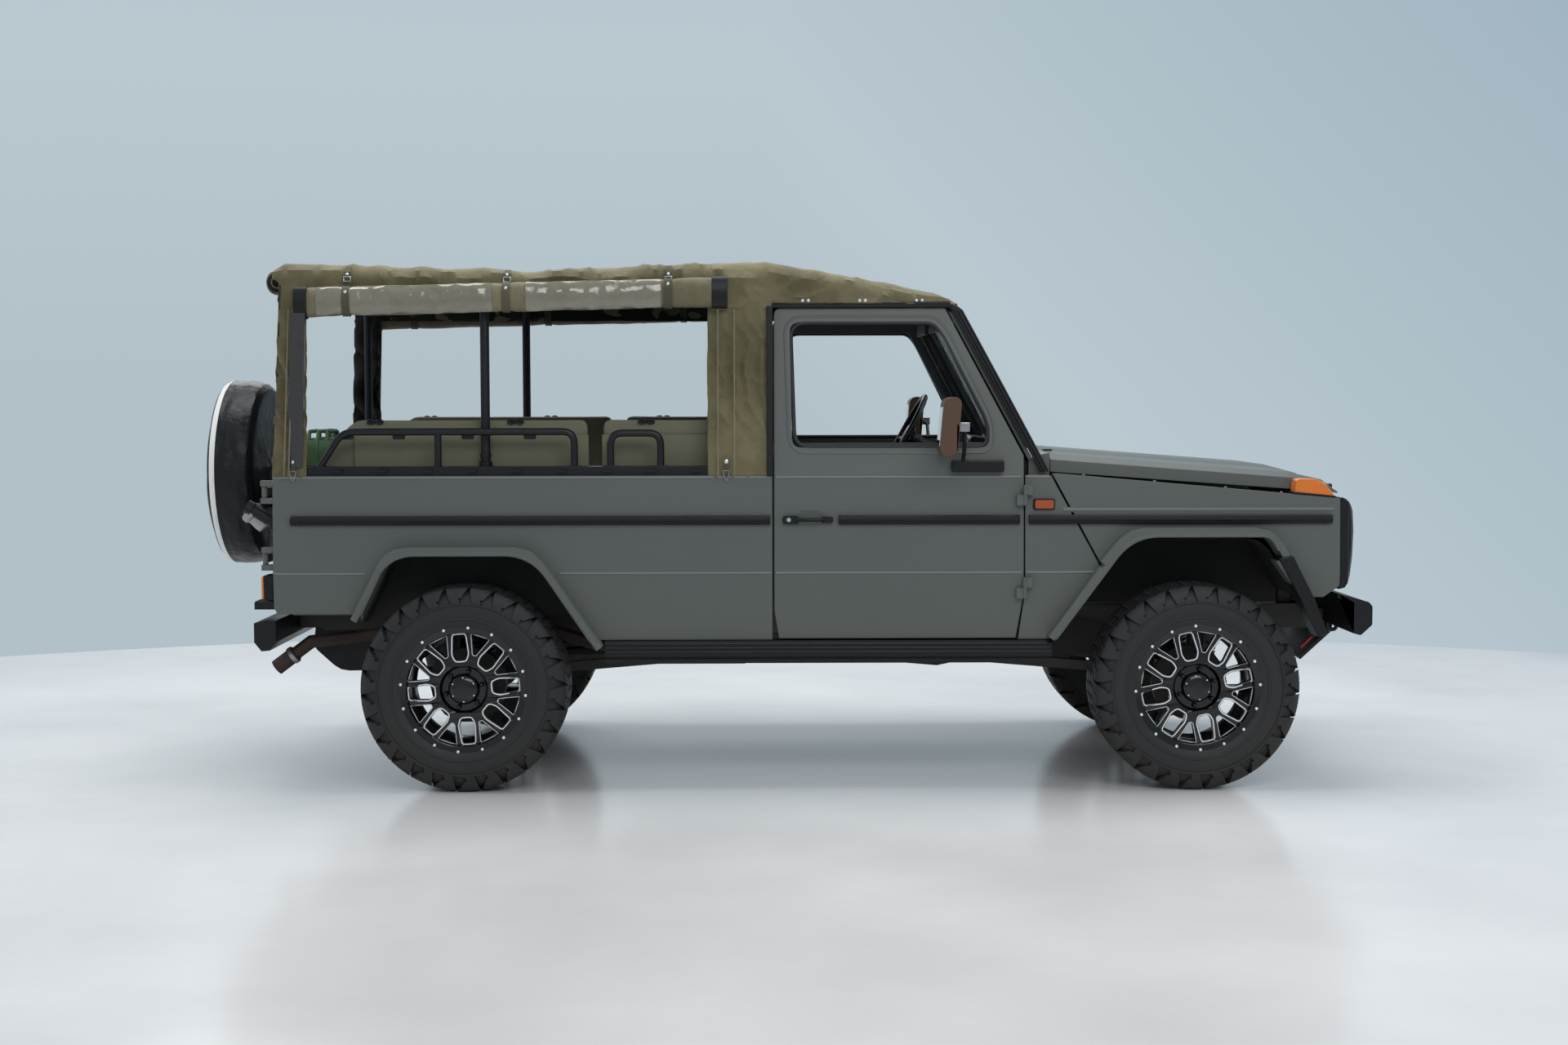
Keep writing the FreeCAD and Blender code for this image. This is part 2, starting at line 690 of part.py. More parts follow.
def driveline():
    """engine as one plain block with gearbox and propeller shafts, and the radiator"""
    low = size["rail_bottom"] + 60
    rear = front_axle - 430
    engine = doc.addObject("Part::Box", "engine_block_box")
    bind(engine, "Length", cell("engine_length"))
    bind(engine, "Width", cell("engine_width"))
    bind(engine, "Height", cell("engine_height"))
    engine.Placement = Placement(Vector(rear, -size["engine_width"] / 2, low), Rotation())
    gearbox = block("gearbox_box", (rear - 620, -130, 425), (rear + 40, 130, 592))
    radiator = block("radiator_box", (front_axle + 440, -330, rail_top + SEAT), (front_axle + 490, 330, 1090))
    back = rod("rear_shaft", (rear_axle + size["diff_radius"] + 4, 0, hub_height + 20), (rear - 600, 0, 500), 32, 8)
    front = rod("front_shaft", (front_axle - size["diff_radius"] - 8, 40, hub_height + 2), (rear + 10, 60, 450), 26, 8)
    inner = size["rail_offset"] - size["rail_width"] / 2 - SEAT
    mounts = block("engine_mounts", (front_axle + 90, -inner, rail_top - 80), (front_axle + 150, inner, rail_top - 40))
    keep(group("driveline_group", [fuse("power_unit", [engine, gearbox, back, front, mounts]), radiator]),
         "engine_and_driveline")


def exhaust():
    """pipe from the engine under the right rail, silencer, and the tail pipe behind the rear wheel"""
    radius = cell("pipe_radius")
    low = size["rail_bottom"] - size["pipe_radius"] - 10
    line = [
        (ahead(2450), -205, size["rail_bottom"] + 60 - SEAT),
        (ahead(2450), -205, low + 40),
        (ahead(2330), -205, low),
        (ahead(2000), -270, low),
        (ahead(1870), -450, low),
        (ahead(1150), -570, PIPE_UP),
        (ahead(500), -560, PIPE_UP),
        (ahead(330), -535, 590),
        (ahead(-330), -535, 590),
        (ahead(-640), -600, 560),
        (ahead(-770), -600, 462),
    ]
    pipe = tube("exhaust_pipe", line, radius)
    drum = rod("silencer", (ahead(620), -565, PIPE_UP), (ahead(1090), -565, PIPE_UP), cell("muffler_radius"))
    keep(fuse("exhaust_solid", [pipe, drum]), "exhaust")


def fuel_tank():
    """tank under the rear cross member, and the filler neck at the right rear corner"""
    top = size["rail_bottom"] + size["rail_kick"] + MEMBER_LIFT - SEAT
    tank = plate("tank_shell", "side", [
        (ahead(-200), top),
        (ahead(-200), 480, 60),
        (ahead(-320), 405, 60),
        (ahead(-590), 400, 90),
        (ahead(-700), 500, 40),
        (ahead(-690), top),
    ], -290, 580)
    rear = ahead(-size["body_rear"]) - SEAT
    y = -725
    flange = rod("filler_flange", (rear, y, 1040), (rear - 14, y, 1040), 34)
    start = (rear - 12, y, 1044)
    end = (ahead(-832), y, 1094)
    neck = rod("filler_tube", (rear - 13.5, y, 1046), end, 24)
    cap = rod("filler_cap", end, (ahead(-856), y, 1108), 29)
    keep(group("fuel_tank_group", [tank, fuse("filler", [flange, neck, cap])]), "fuel_tank_and_filler")


def side_face(height):
    """distance of the body side from the car's middle, at a height below the belt"""
    belt = size["belt_half_width"]
    fold = size["side_half_width"]
    if height > size["fold_height"]:
        share = (height - size["fold_height"]) / (size["belt_height"] - size["fold_height"])
    else:
        share = (size["fold_height"] - height) / (size["fold_height"] - size["sill_height"])
    return fold + (belt - fold) * share


# Body
def arch_rear(lift=0):
    """rear wheel arch line from its rear foot over the top to its front foot, moved outwards by lift"""
    foot = size["tail_height"]
    top = size["arch_height_rear"] - size["flare_band"]
    return [
        (ahead(-410 - lift), foot - 40),
        (ahead(-278 - lift * 0.6), top + lift, 85),
        (ahead(258 + lift * 0.6), top + lift, 100),
        (ahead(515 + lift), size["sill_height"] - 40),
    ]


def arch_front(lift=0):
    """front wheel arch line from its rear foot over the top to its front foot, moved outwards by lift"""
    foot = size["sill_height"]
    top = size["arch_height_front"] - size["flare_band"]
    return [
        (ahead(2300 - lift), foot - 40),
        (ahead(2592 - lift * 0.6), top + lift, 100),
        (ahead(3130 + lift * 0.6), top + lift, 90),
        (ahead(3300 + lift), 660),
    ]


def side_section(top):
    """cross-section of a right-hand body side: flat above and below the fold"""
    wall = size["side_wall"]
    belt = size["belt_half_width"]
    return [
        (-belt, size["sill_height"]),
        (-size["side_half_width"], size["fold_height"]),
        (-belt, top),
        (wall - belt, top),
        (wall - belt, size["sill_height"]),
    ]


def side_panels():
    """rear body sides with wheel arch and lip, and the hinge lugs of the tail door on the right"""
    rear = ahead(-size["body_rear"])
    front = ahead(size["door_rear"] - DOOR_GAP)
    slab = plate("quarter_slab", "cross", side_section(size["belt_height"]), rear, front - rear)
    arch = arch_rear()
    below = [(arch[3][0], 400), (arch[0][0], 400)]
    opening = plate("rear_arch_opening", "side", arch + below, 700, 200)
    corner = plate("tail_corner", "side", [
        (rear - 10, 500),
        (rear - 10, size["tail_height"] + 40),
        (rear + 14, size["tail_height"]),
        (ahead(-405), size["tail_height"]),
        (ahead(-405), 500),
    ], 700, 200)
    body = cut("quarter_open", cut("quarter_cut", slab, opening), corner)
    lip = plate("rear_lip", "side", band(arch, size["flare_band"]),
                size["belt_half_width"] - 30, size["flare_half_width"] - size["belt_half_width"] + 30)
    trim_low = plate("rear_lip_trim", "side", [
        (ahead(-700), 300),
        (ahead(-700), size["tail_height"]),
        (ahead(0), size["tail_height"]),
        (ahead(0), size["sill_height"]),
        (ahead(900), size["sill_height"]),
        (ahead(900), 300),
    ], 600, 400)
    lip_cut = cut("rear_lip_cut", lip, trim_low)
    post = block("tail_post", (rear, -size["belt_half_width"] + size["side_wall"], size["tail_height"]),
                 (rear + 60, -size["tail_door_half_width"] - TAIL_GAP, size["belt_height"]))
    inner = size["belt_half_width"] - size["side_wall"]
    jamb = plate("door_jamb", "plan", [
        (front - 40, -inner - 1),
        (front - 40, JAMB_GAP + JAMB_SHEET - inner),
        (front + 24, JAMB_GAP + JAMB_SHEET - inner),
        (front + 24, JAMB_GAP - inner),
        (front - 6, JAMB_GAP - inner),
        (front - 6, -inner - 1),
    ], size["sill_height"] + 20, size["belt_height"] - size["sill_height"] - 20)
    plain = fuse("quarter_panel", [body, lip_cut, post, jamb])
    keep(mirrored("quarter_left", plain), "side_panel_left")
    lugs = []
    for z in TAIL_HINGES:
        for lift in (-1, 1):
            z_near = z + lift * 23
            z_far = z + lift * 45
            lugs.append(block("hinge_lug", (rear - 48, -785, min(z_near, z_far)), (rear, -745, max(z_near, z_far))))
    keep(fuse("quarter_right", [plain] + lugs), "side_panel_right")


def floor_tub():
    """cab floor, step, load floor and the rear wheelhouses"""
    skin = size["skin"]
    inner = size["belt_half_width"] - size["side_wall"]
    cab_half = inner - 12
    front = ahead(CAB_FRONT)
    step = ahead(1110)
    rear = ahead(-size["body_rear"])
    low = size["rail_bottom"] + size["rail_height"]
    high = low + size["rail_kick"]
    pieces = [
        block("cab_floor_plate", (step, -cab_half, low), (front, cab_half, size["cab_floor"])),
        block("step_plate", (step, -cab_half, low), (step + skin, cab_half, size["bed_floor"])),
    ]
    for side in (-1, 1):
        outer = side * cab_half
        inside = side * (cab_half - skin)
        pieces.append(block("sill_flange", (ahead(560), min(outer, inside), size["sill_height"] - size["sill_drop"]),
                            (front, max(outer, inside), low + 4)))
    bed = block("bed_plate", (rear + 60, -inner, high), (step + skin, inner, size["bed_floor"]))
    house = size["wheelhouse_half_width"]
    line = arch_rear(0)
    opening = plate("wheelhouse_space", "side", line, house, inner - house + 5)
    bed_open = cut("bed_cut", cut("bed_cut_right", bed, opening), mirrored("wheelhouse_space_left", opening))
    shell = plate("wheelhouse_shell", "side", band(list(reversed(line)), -skin), house - skin, inner - house + skin)
    cheek_line = [(x, z) + tuple(rest) for x, z, *rest in line]
    cheek = plate("wheelhouse_cheek", "side", cheek_line, house - skin, skin)
    floor_cut = block("below_floor", (ahead(-900), -900, 300), (ahead(1100), 900, high))
    right = cut("wheelhouse_right", fuse("wheelhouse_whole", [shell, cheek]), floor_cut)
    pieces += [bed_open, right, mirrored("wheelhouse_left", right)]
    keep(fuse("floor_tub_solid", pieces), "floor_tub")


def load_mat():
    """rubber mat on the load floor, between the benches"""
    top = size["bed_floor"] + size["mat"]
    half = size["mat_half_width"]
    mat = block("mat", (ahead(90 - size["body_rear"]), -half, size["bed_floor"]), (ahead(1090), half, top))
    keep(mat, "load_mat")


def sills():
    """black ribbed boards under the doors"""
    top = size["sill_height"] - 2
    low = top - size["sill_drop"]
    inner = size["belt_half_width"] - size["side_wall"] - 12
    section = [
        (-inner, low + 6),
        (-inner, top),
        (-size["side_half_width"] + 2, top),
        (-size["side_half_width"] - 8, top - 12),
        (-size["side_half_width"] - 8, low + 34),
        (-size["side_half_width"] + 8, low + 22),
        (-size["side_half_width"] + 8, low + 6),
    ]
    board = plate("sill_board", "cross", section, ahead(545), ahead(2290) - ahead(545))
    keep(group("sill_group", [board, mirrored("sill_board_left", board)]), "sill_boards")


def cowl():
    """bulkhead and scuttle, with the body corners between the doors and the front wheels"""
    gap = size["panel_gap"]
    slab = plate("cowl_slab", "cross", side_section(size["belt_height"]), ahead(2120), 420)
    keep_line = [
        (ahead(2158), size["sill_height"]),
        (ahead(size["door_front"] + gap), 770),
        (ahead(size["door_front"] + gap), size["belt_height"] + 5),
        (ahead(2281), size["belt_height"] + 5),
        (ahead(2483), 857),
        (ahead(2292), size["sill_height"]),
    ]
    keeper = plate("cowl_keeper", "side", keep_line, 700, 200)
    corner = common("cowl_side", slab, keeper)
    lip = plate("cowl_lip", "side", band([(ahead(2292), size["sill_height"]), (ahead(2490), 857)], size["flare_band"]),
                size["belt_half_width"] - 30, size["flare_half_width"] - size["belt_half_width"] + 30)
    pieces = [corner, lip]
    hinge_x = ahead(size["door_front"] + HINGE_AHEAD)
    for low, high in DOOR_HINGES:
        middle = (low + high) / 2
        y = -HINGE_OFFSET
        pieces.append(rod("hinge_barrel", (hinge_x, y, middle + SEAT / 2), (hinge_x, y, high),
                          cell("hinge_radius"), 8))
        pieces.append(block("hinge_leaf", (hinge_x, y - 3, middle + SEAT / 2), (hinge_x + 30, -side_face(high) + 6, high)))
    side = fuse("cowl_corner", pieces)
    inner = size["belt_half_width"] - size["side_wall"]
    foot = size["rail_bottom"] + size["rail_height"]
    wall = block("bulkhead", (ahead(CAB_FRONT), 3 - inner, foot), (ahead(CAB_FRONT + 16), inner - 3, 1222))
    post = block("door_post", (ahead(2226), -inner - 1, size["cab_floor"]),
                 (ahead(CAB_FRONT + 2), -inner + 14, size["belt_height"]))
    scuttle = plate("scuttle", "side", [
        (ahead(2202), 1186),
        (ahead(2202), 1283.6),
        (ahead(2236), 1302),
        (ahead(2284), 1312),
        (ahead(2284), 1222),
        (ahead(CAB_FRONT + 10), 1222),
        (ahead(CAB_FRONT + 10), 1186),
    ], -inner + 2, 2 * inner - 4)
    hinges = [block("bonnet_hinge", (ahead(2283), y - 25, 1276), (ahead(size["bonnet_rear"]) - SEAT, y + 25, 1300))
              for y in (-450, 450)]
    parts = [side, mirrored("cowl_corner_left", side), wall, post, mirrored("door_post_left", post), scuttle] + hinges
    keep(fuse("cowl_solid", parts), "cowl_and_bulkhead")


def screen_place():
    """placement of the windscreen plane: u to the left, v up the glass, w out towards the front"""
    foot = Vector(ahead(size["screen_base_x"]), 0, size["screen_base_height"])
    head = Vector(ahead(size["screen_top_x"]), 0, size["rake_top"])
    up = (head - foot).normalize()
    left = Vector(0, 1, 0)
    return Placement(foot, Rotation(left, up, left.cross(up), "XYZ")), (head - foot).Length


def windscreen():
    """windscreen frame and glass, in a plane that leans back"""
    place, slope = screen_place()
    base = size["screen_half_base"]
    top = size["screen_half_top"]
    border = size["screen_border"]

    def sheet_of(name, trim, start, depth, holes):
        sketch = doc.addObject("Sketcher::SketchObject", name + "_outline")
        sketch.Placement = place.multiply(Placement(Vector(0, 0, start), Rotation()))
        sketch.addGeometry(outline(trim), False)
        for hole in holes:
            sketch.addGeometry(outline(hole), False)
        solid = doc.addObject("Part::Extrusion", name)
        solid.Base = sketch
        solid.DirMode = "Normal"
        solid.Solid = True
        bind(solid, "LengthFwd", depth)
        return solid

    outer = [(-base, SCREEN_FOOT), (base, SCREEN_FOOT), (top, slope - 2, 30), (-top, slope - 2, 30)]
    shrink = border + 6
    opening = [
        (-base + shrink, SCREEN_FOOT + border, 40),
        (base - shrink, SCREEN_FOOT + border, 40),
        (top - shrink + 6, slope - border, 40),
        (-top + shrink - 6, slope - border, 40),
    ]
    frame = sheet_of("screen_frame", outer, -size["screen_depth"], cell("screen_depth"), [opening])
    keep(frame, "windscreen_frame")
    pane = [
        (-base + shrink + SEAT, SCREEN_FOOT + border + SEAT, 40),
        (base - shrink - SEAT, SCREEN_FOOT + border + SEAT, 40),
        (top - shrink + 6 - SEAT, slope - border - SEAT, 40),
        (-top + shrink - 6 + SEAT, slope - border - SEAT, 40),
    ]
    glass = sheet_of("screen_pane", pane, -size["screen_depth"] / 2, cell("glass_depth"), [])
    keep(glass, "windscreen_glass")


def fenders():
    """front fenders with flat tops, wheel arch lip, rubber flap and inner wheelhouse"""
    skin = size["skin"]
    belt = size["belt_half_width"]
    front = ahead(size["fender_front"])
    slab = plate("fender_slab", "cross", [
        (-belt, size["sill_height"]),
        (-size["side_half_width"], size["fold_height"]),
        (-belt, size["belt_height"] + 12),
        (size["side_wall"] + 1 - belt, size["belt_height"] + 12),
        (size["side_wall"] + 1 - belt, size["sill_height"]),
    ], ahead(2200), front - ahead(2200))
    arch = arch_front()
    keeper = plate("fender_keeper", "side", [
        (ahead(2289), size["belt_height"] + 8),
        (front, 1134),
        (front, 792),
        (ahead(3350), 748),
        (ahead(3262), 748),
        arch[2],
        arch[1],
        (ahead(2492), 857),
    ], 700, 200)
    outer = common("fender_outer", slab, keeper)
    edge = size["bonnet_half_width"] + size["panel_gap"]
    top = plate("fender_top", "side", [
        (ahead(2310), size["belt_height"] + 7),
        (front, 1134),
        (front, 1134 - skin),
        (ahead(2310), size["belt_height"] + 7 - skin),
    ], edge, belt - edge - 10)
    ledge = plate("bonnet_ledge", "side", [
        (ahead(2340), size["belt_height"]),
        (front, 1128),
        (front, 1010),
        (ahead(3130), 1000),
        (ahead(2592), 1000),
        (ahead(2340), 1080),
    ], edge, skin)
    cheek_y = size["rail_offset"] + size["rail_width"] / 2 + 5
    roof = [
        (ahead(2342), 716),
        (ahead(2592), arch[1][1] - 2),
        (ahead(3130), arch[1][1] - 2),
        (ahead(3262), 748),
    ]
    house = plate("front_wheelhouse", "side", band(roof, skin), cheek_y, belt - size["side_wall"] - SEAT - cheek_y)
    cheek = plate("front_cheek", "side", roof + [(ahead(3262), rail_top + 4), (ahead(2400), rail_top + 4)], cheek_y, skin)
    foot = block("fender_foot", (ahead(2700), -cheek_y - 20, rail_top), (ahead(3200), -size["rail_offset"], rail_top + 20))
    lip = plate("front_lip", "side", band([
        (ahead(2490), 876),
        arch[1],
        arch[2],
        (ahead(3262), 748),
    ], size["flare_band"]), belt - 30, size["flare_half_width"] - belt + 30)
    flap = plate("rubber_flap", "side", [
        (ahead(3152), 892),
        (ahead(3200), 904),
        (ahead(3290), 742),
        (ahead(3344), 612),
        (ahead(3322), 606),
        (ahead(3262), 735),
    ], belt - 40, size["flare_half_width"] - belt + 32)
    right = fuse("fender_right_solid", [outer, top, ledge, house, cheek, foot, lip, flap])
    keep(right, "fender_right")
    keep(mirrored("fender_left_solid", right), "fender_left")


def bonnet_section(rise, low, half, crown):
    """half cross-section heights of the bonnet at one station, mirrored to a closed outline"""
    right = [
        (-half, low),
        (-half + 4, low + rise * 0.62),
        (-half + 42, low + rise * 0.90),
        (-half * 0.46, low + rise * 0.97),
        (-half * 0.36, low + rise + crown),
    ]
    left = [(-y, z) for y, z in reversed(right)]
    return right + left


def bonnet():
    """bonnet: a hollow shell that falls towards the nose, with a raised middle"""
    half = size["bonnet_half_width"]
    wall = size["bonnet_wall"]
    stations = [
        (size["bonnet_rear"], 1236, 78, half, 8),
        (3240, 1167, 72, half, 10),
        (3375, 1157, 50, half - 8, 6),
        (size["bonnet_front"], 1148, 12, half - 30, 1),
    ]
    outer = []
    inner = []
    for x, low, rise, width, crown in stations:
        outer.append([Vector(ahead(x), y, z) for y, z in bonnet_section(rise, low, width, crown)])
    for x, low, rise, width, crown in stations[:3]:
        station = max(ahead(x), ahead(size["bonnet_rear"]) + wall)
        roof = low + rise * 0.9 - wall
        side = width - wall
        profile = [(-side, low - 6), (-side + 34, roof), (side - 34, roof), (side, low - 6)]
        inner.append([Vector(station, y, z) for y, z in profile])
    item = doc.addObject("Part::Feature", "bonnet_solid")
    item.Shape = shell_of(outer, True).cut(shell_of(inner, True))
    keep(item, "bonnet")


def grille():
    """front mask: a bulged panel with round lamp openings and grille slots"""
    front = ahead(size["grille_front"])
    back = ahead(size["fender_front"]) + SEAT
    half = size["belt_half_width"]
    mask = plate("mask_panel", "side", [
        (back, 1138),
        (front - 48, 1122),
        (front - 28, 1106),
        (front - 10, 1080),
        (front, 1000),
        (front - 8, 900),
        (front - 28, 830),
        (front - 58, 784),
        (back, 778),
    ], -half, 2 * half)
    hollow = plate("mask_hollow", "side", [
        (back - 5, 1116),
        (back + 34, 1098),
        (back + 58, 1000),
        (back + 46, 890),
        (back + 14, 808),
        (back - 5, 802),
    ], -half + 70, 2 * half - 140)
    corner = plate("mask_corner", "plan", [
        (ahead(3446), -half - 2),
        (front + 2, -half - 2),
        (front + 2, -686),
    ], 700, 500)
    tools = [corner, mirrored("mask_corner_left", corner)]
    for side in (-1, 1):
        y = side * size["lamp_offset"]
        tools.append(rod("lamp_opening", (back - 20, y, lamp_height), (front + 20, y, lamp_height),
                         size["lamp_radius"] + 1, 20))
    for index in range(5):
        z = 870 + index * 44
        tools.append(block("grille_slot", (back - 20, -400, z), (front + 20, 400, z + 30)))
    keep(cut("grille_solid", cut("mask_shell", mask, hollow), fuse("grille_tools", tools)), "grille_mask")


def lamps():
    """headlamps, fender indicators, side repeaters and tail lamps"""
    back = ahead(size["fender_front"])
    y = -size["lamp_offset"]
    z = lamp_height
    repeater = -side_face(1097) - SEAT
    right = [
        rod("headlamp", (back + 22, y, z), (ahead(size["grille_front"]) - 12, y, z), cell("lamp_radius"), 20),
        plate("indicator", "side", [
            (ahead(3238), 1149.7),
            (ahead(3243), 1208),
            (ahead(3305), 1208),
            (ahead(3335), 1203),
            (ahead(3385), 1142),
            (ahead(3385), 1136.8),
        ], 712, 62),
        block("repeater", (ahead(2219), repeater - 13, 1097), (ahead(2291), repeater, 1129)),
        block("tail_lamp", (ahead(-size["body_rear"] - 52), -784, 762), (ahead(-size["body_rear"]) - SEAT, -694, 836)),
    ]
    left = [mirrored("left_" + item.Name, item) for item in right]
    keep(group("lamp_group", right + left), "lamps")


def bumpers():
    """front bumper, rear bumper with the two corner steps, and the red skid plate"""
    back = nose - BUMPER_DEPTH
    front = plate("front_bumper_bar", "side", [
        (back - 64, BUMPER_TOP),
        (nose - 14, 728),
        (nose, 712),
        (nose, 640),
        (nose - 44, 598),
        (back, BUMPER_LOW),
        (back, BUMPER_TOP - 33),
        (back - 64, BUMPER_TOP - 18),
    ], -size["bumper_half_width"], 2 * size["bumper_half_width"])
    keep(front, "front_bumper")
    rear = ahead(-size["body_rear"])
    bar = plate("rear_bumper_bar", "side", [
        (rear - 80, 655),
        (rear - 80, 580),
        (rear - 52, 545),
        (rear - 20, 548),
        (rear + 4, 580),
        (rear + 4, 664),
        (rear - 30, 668),
    ], -size["bumper_half_width"] + 8, 2 * size["bumper_half_width"] - 16)
    step = block("corner_step", (rear - 78, -785, 708), (rear - SEAT, -665, 736))
    keep(group("rear_bumper_group", [bar, step, mirrored("corner_step_left", step)]), "rear_bumper")
    skid_top = size["rail_bottom"] + size["rail_kick"] + MEMBER_LIFT - SEAT
    skid = plate("skid_sheet", "side", band([
        (nose - 18, skid_top - 4),
        (nose - 18, skid_top - 35),
        (nose - 148, skid_top - 155),
    ], -14), -310, 620)
    foot = block("skid_foot", (front_axle + size["rail_front"] - 40, -300, skid_top - 14),
                 (nose - 28, 300, skid_top))
    keep(fuse("skid_solid", [skid, foot]), "skid_plate")


def door_section():
    """cross-section of the right door: folded lower panel and the upper frame that leans in"""
    wall = size["side_wall"]
    belt = size["belt_half_width"]
    lean = belt - 70
    return [
        (-belt, 588),
        (-size["side_half_width"], size["fold_height"]),
        (-belt, size["belt_height"]),
        (-lean, size["door_top"]),
        (-lean + size["frame_wall"], size["door_top"]),
        (-belt + wall, size["belt_height"] + 20),
        (-belt + wall, 588),
    ]


def doors():
    """doors as thick as the real ones, with the window opening, and the outside mirrors"""
    body = doc.addObject("PartDesign::Body", "door_body")
    planes = {item.Role: item for item in body.Origin.OriginFeatures}

    def sketch(name, role, offset, outlines):
        item = body.newObject("Sketcher::SketchObject", name)
        item.AttachmentSupport = [(planes[role], "")]
        item.MapMode = "FlatFace"
        item.AttachmentOffset = Placement(Vector(0, 0, offset), Rotation())
        for points in outlines:
            item.addGeometry(outline(points), False)
        return item

    rear = ahead(size["door_rear"])
    front = ahead(size["door_front"])
    section = sketch("door_section", "YZ_Plane", rear, [door_section()])
    slab = body.newObject("PartDesign::Pad", "door_slab")
    slab.Profile = section
    slab.setExpression("Length", "sizes.door_front - sizes.door_rear")
    edge = [
        (rear, size["door_top"], 25),
        (ahead(1873), size["door_top"]),
        (front, 1302),
        (front, 760),
        (ahead(2148), 590),
        (ahead(1224), 590),
        (rear, 700),
    ]
    around = [(rear - 50, 500), (front + 50, 500), (front + 50, 2000), (rear - 50, 2000)]
    trim_sketch = sketch("door_trim", "XZ_Plane", 900, [around, edge])
    trim = body.newObject("PartDesign::Pocket", "door_edge")
    trim.Profile = trim_sketch
    trim.Length = 400
    window = [
        (ahead(1268), size["window_head"], 30),
        (ahead(1830), size["window_head"], 30),
        (ahead(2044), 1420, 40),
        (ahead(2044), size["window_sill"], 30),
        (ahead(1276), size["window_sill"], 30),
    ]
    window_sketch = sketch("door_window", "XZ_Plane", 900, [window])
    pocket = body.newObject("PartDesign::Pocket", "window_opening")
    pocket.Profile = window_sketch
    pocket.Length = 400
    hinge_x = ahead(size["door_front"] + HINGE_AHEAD)
    pieces = [body]
    for low, high in DOOR_HINGES:
        middle = (low + high) / 2
        y = -HINGE_OFFSET
        pieces.append(rod("door_barrel", (hinge_x, y, low), (hinge_x, y, middle - SEAT / 2), cell("hinge_radius"), 8))
        pieces.append(block("door_leaf", (hinge_x - 34, y - 3, low), (hinge_x, -side_face(high) - 2, middle - SEAT / 2)))
        pieces.append(block("door_leaf_foot", (hinge_x - 34, y - 3, low), (hinge_x - 12, -side_face(high) + 12,
                                                                         middle - SEAT / 2)))
    right = keep(fuse("door_right_solid", pieces), "door_right")
    keep(mirrored("door_left_solid", right), "door_left")
    lean = 70 * (1242 - size["belt_height"]) / (size["door_top"] - size["belt_height"])
    foot_y = size["belt_half_width"] - lean + SEAT
    out = size["belt_half_width"] + size["mirror_standout"]
    near = out - size["mirror_width"]
    base = plate("mirror_foot", "side", [
        (ahead(1896), 1242),
        (ahead(1896), 1284),
        (ahead(2096), 1258),
        (ahead(2096), 1242),
    ], foot_y, 28)
    arm = tube("mirror_arm", [
        (ahead(1915), -800, 1262),
        (ahead(1915), -near - 10, 1300),
        (ahead(1890), -near - 72, 1408),
    ], 9)
    head = plate("mirror_head", "cross", [
        (20 - out, 1308),
        (-out, 1335),
        (-out, 1498),
        (25 - out, 1526),
        (-near - 22, 1526),
        (-near, 1498),
        (-near, 1335),
        (-near - 17, 1308),
    ], ahead(1846), 64)
    mirror = keep(fuse("mirror_right_solid", [base, arm, head]), "mirror_right")
    keep(mirrored("mirror_left_solid", mirror), "mirror_left")


def tail_door():
    """side-hinged tail door with its hinge arms, the spare wheel's bracket and the covered spare wheel"""
    rear = ahead(-size["body_rear"])
    half = size["tail_door_half_width"]
    panel = block("tail_panel", (rear, -half, size["tail_height"] + 12), (rear + 44, half, size["belt_height"] - 6))
    hinge_x = rear - TAIL_HINGE_BACK
    pieces = [panel]
    for z in TAIL_HINGES:
        pieces.append(rod("hinge_barrel", (hinge_x, -TAIL_HINGE_OFFSET, z - 22.7),
                          (hinge_x, -TAIL_HINGE_OFFSET, z + 22.7), 11, 8))
        pieces.append(block("hinge_arm", (hinge_x - 6, -TAIL_HINGE_OFFSET, z - 16), (hinge_x + 6, -half + 60, z + 16)))
        pieces.append(block("hinge_pad", (hinge_x - 6, -half + 10, z - 16), (rear + 2, -half + 60, z + 16)))
    keep(fuse("tail_door_solid", pieces), "tail_door")
    y = -size["spare_shift"]
    z = size["spare_height"]
    face = tail + size["spare_depth"]
    drum = rod("spare_drum", (face + SEAT, y, z - 60), (rear - SEAT, y, z - 60), 95)
    arms = block("spare_arms", (rear - 30, y - 230, z - 190), (rear - SEAT, y + 230, z - 20))
    keep(fuse("spare_bracket_solid", [drum, arms]), "spare_bracket")
    profile = [
        (tail, size["spare_radius"] - 50),
        (tail + 50, size["spare_radius"] - 4),
        (tail + 90, size["spare_radius"]),
        (face - 30, size["spare_radius"]),
        (face, size["spare_radius"] - 34),
    ]
    spare = doc.addObject("Part::Feature", "spare_cover_solid")
    spare.Shape = faceted_disc(profile, WHEEL_FACETS, Vector(0, y, z))
    keep(spare, "spare_wheel_cover")


def faceted_disc(profile, facets, centre):
    """a solid of flat facets about an axis along X; the profile lists (x, radius) from face to face"""
    loops = []
    for along, radius in profile:
        spots = []
        for step in range(facets):
            turn = 2 * math.pi * step / facets
            spots.append(centre + Vector(along, radius * math.sin(turn), radius * math.cos(turn)))
        loops.append(spots)
    return shell_of(loops)


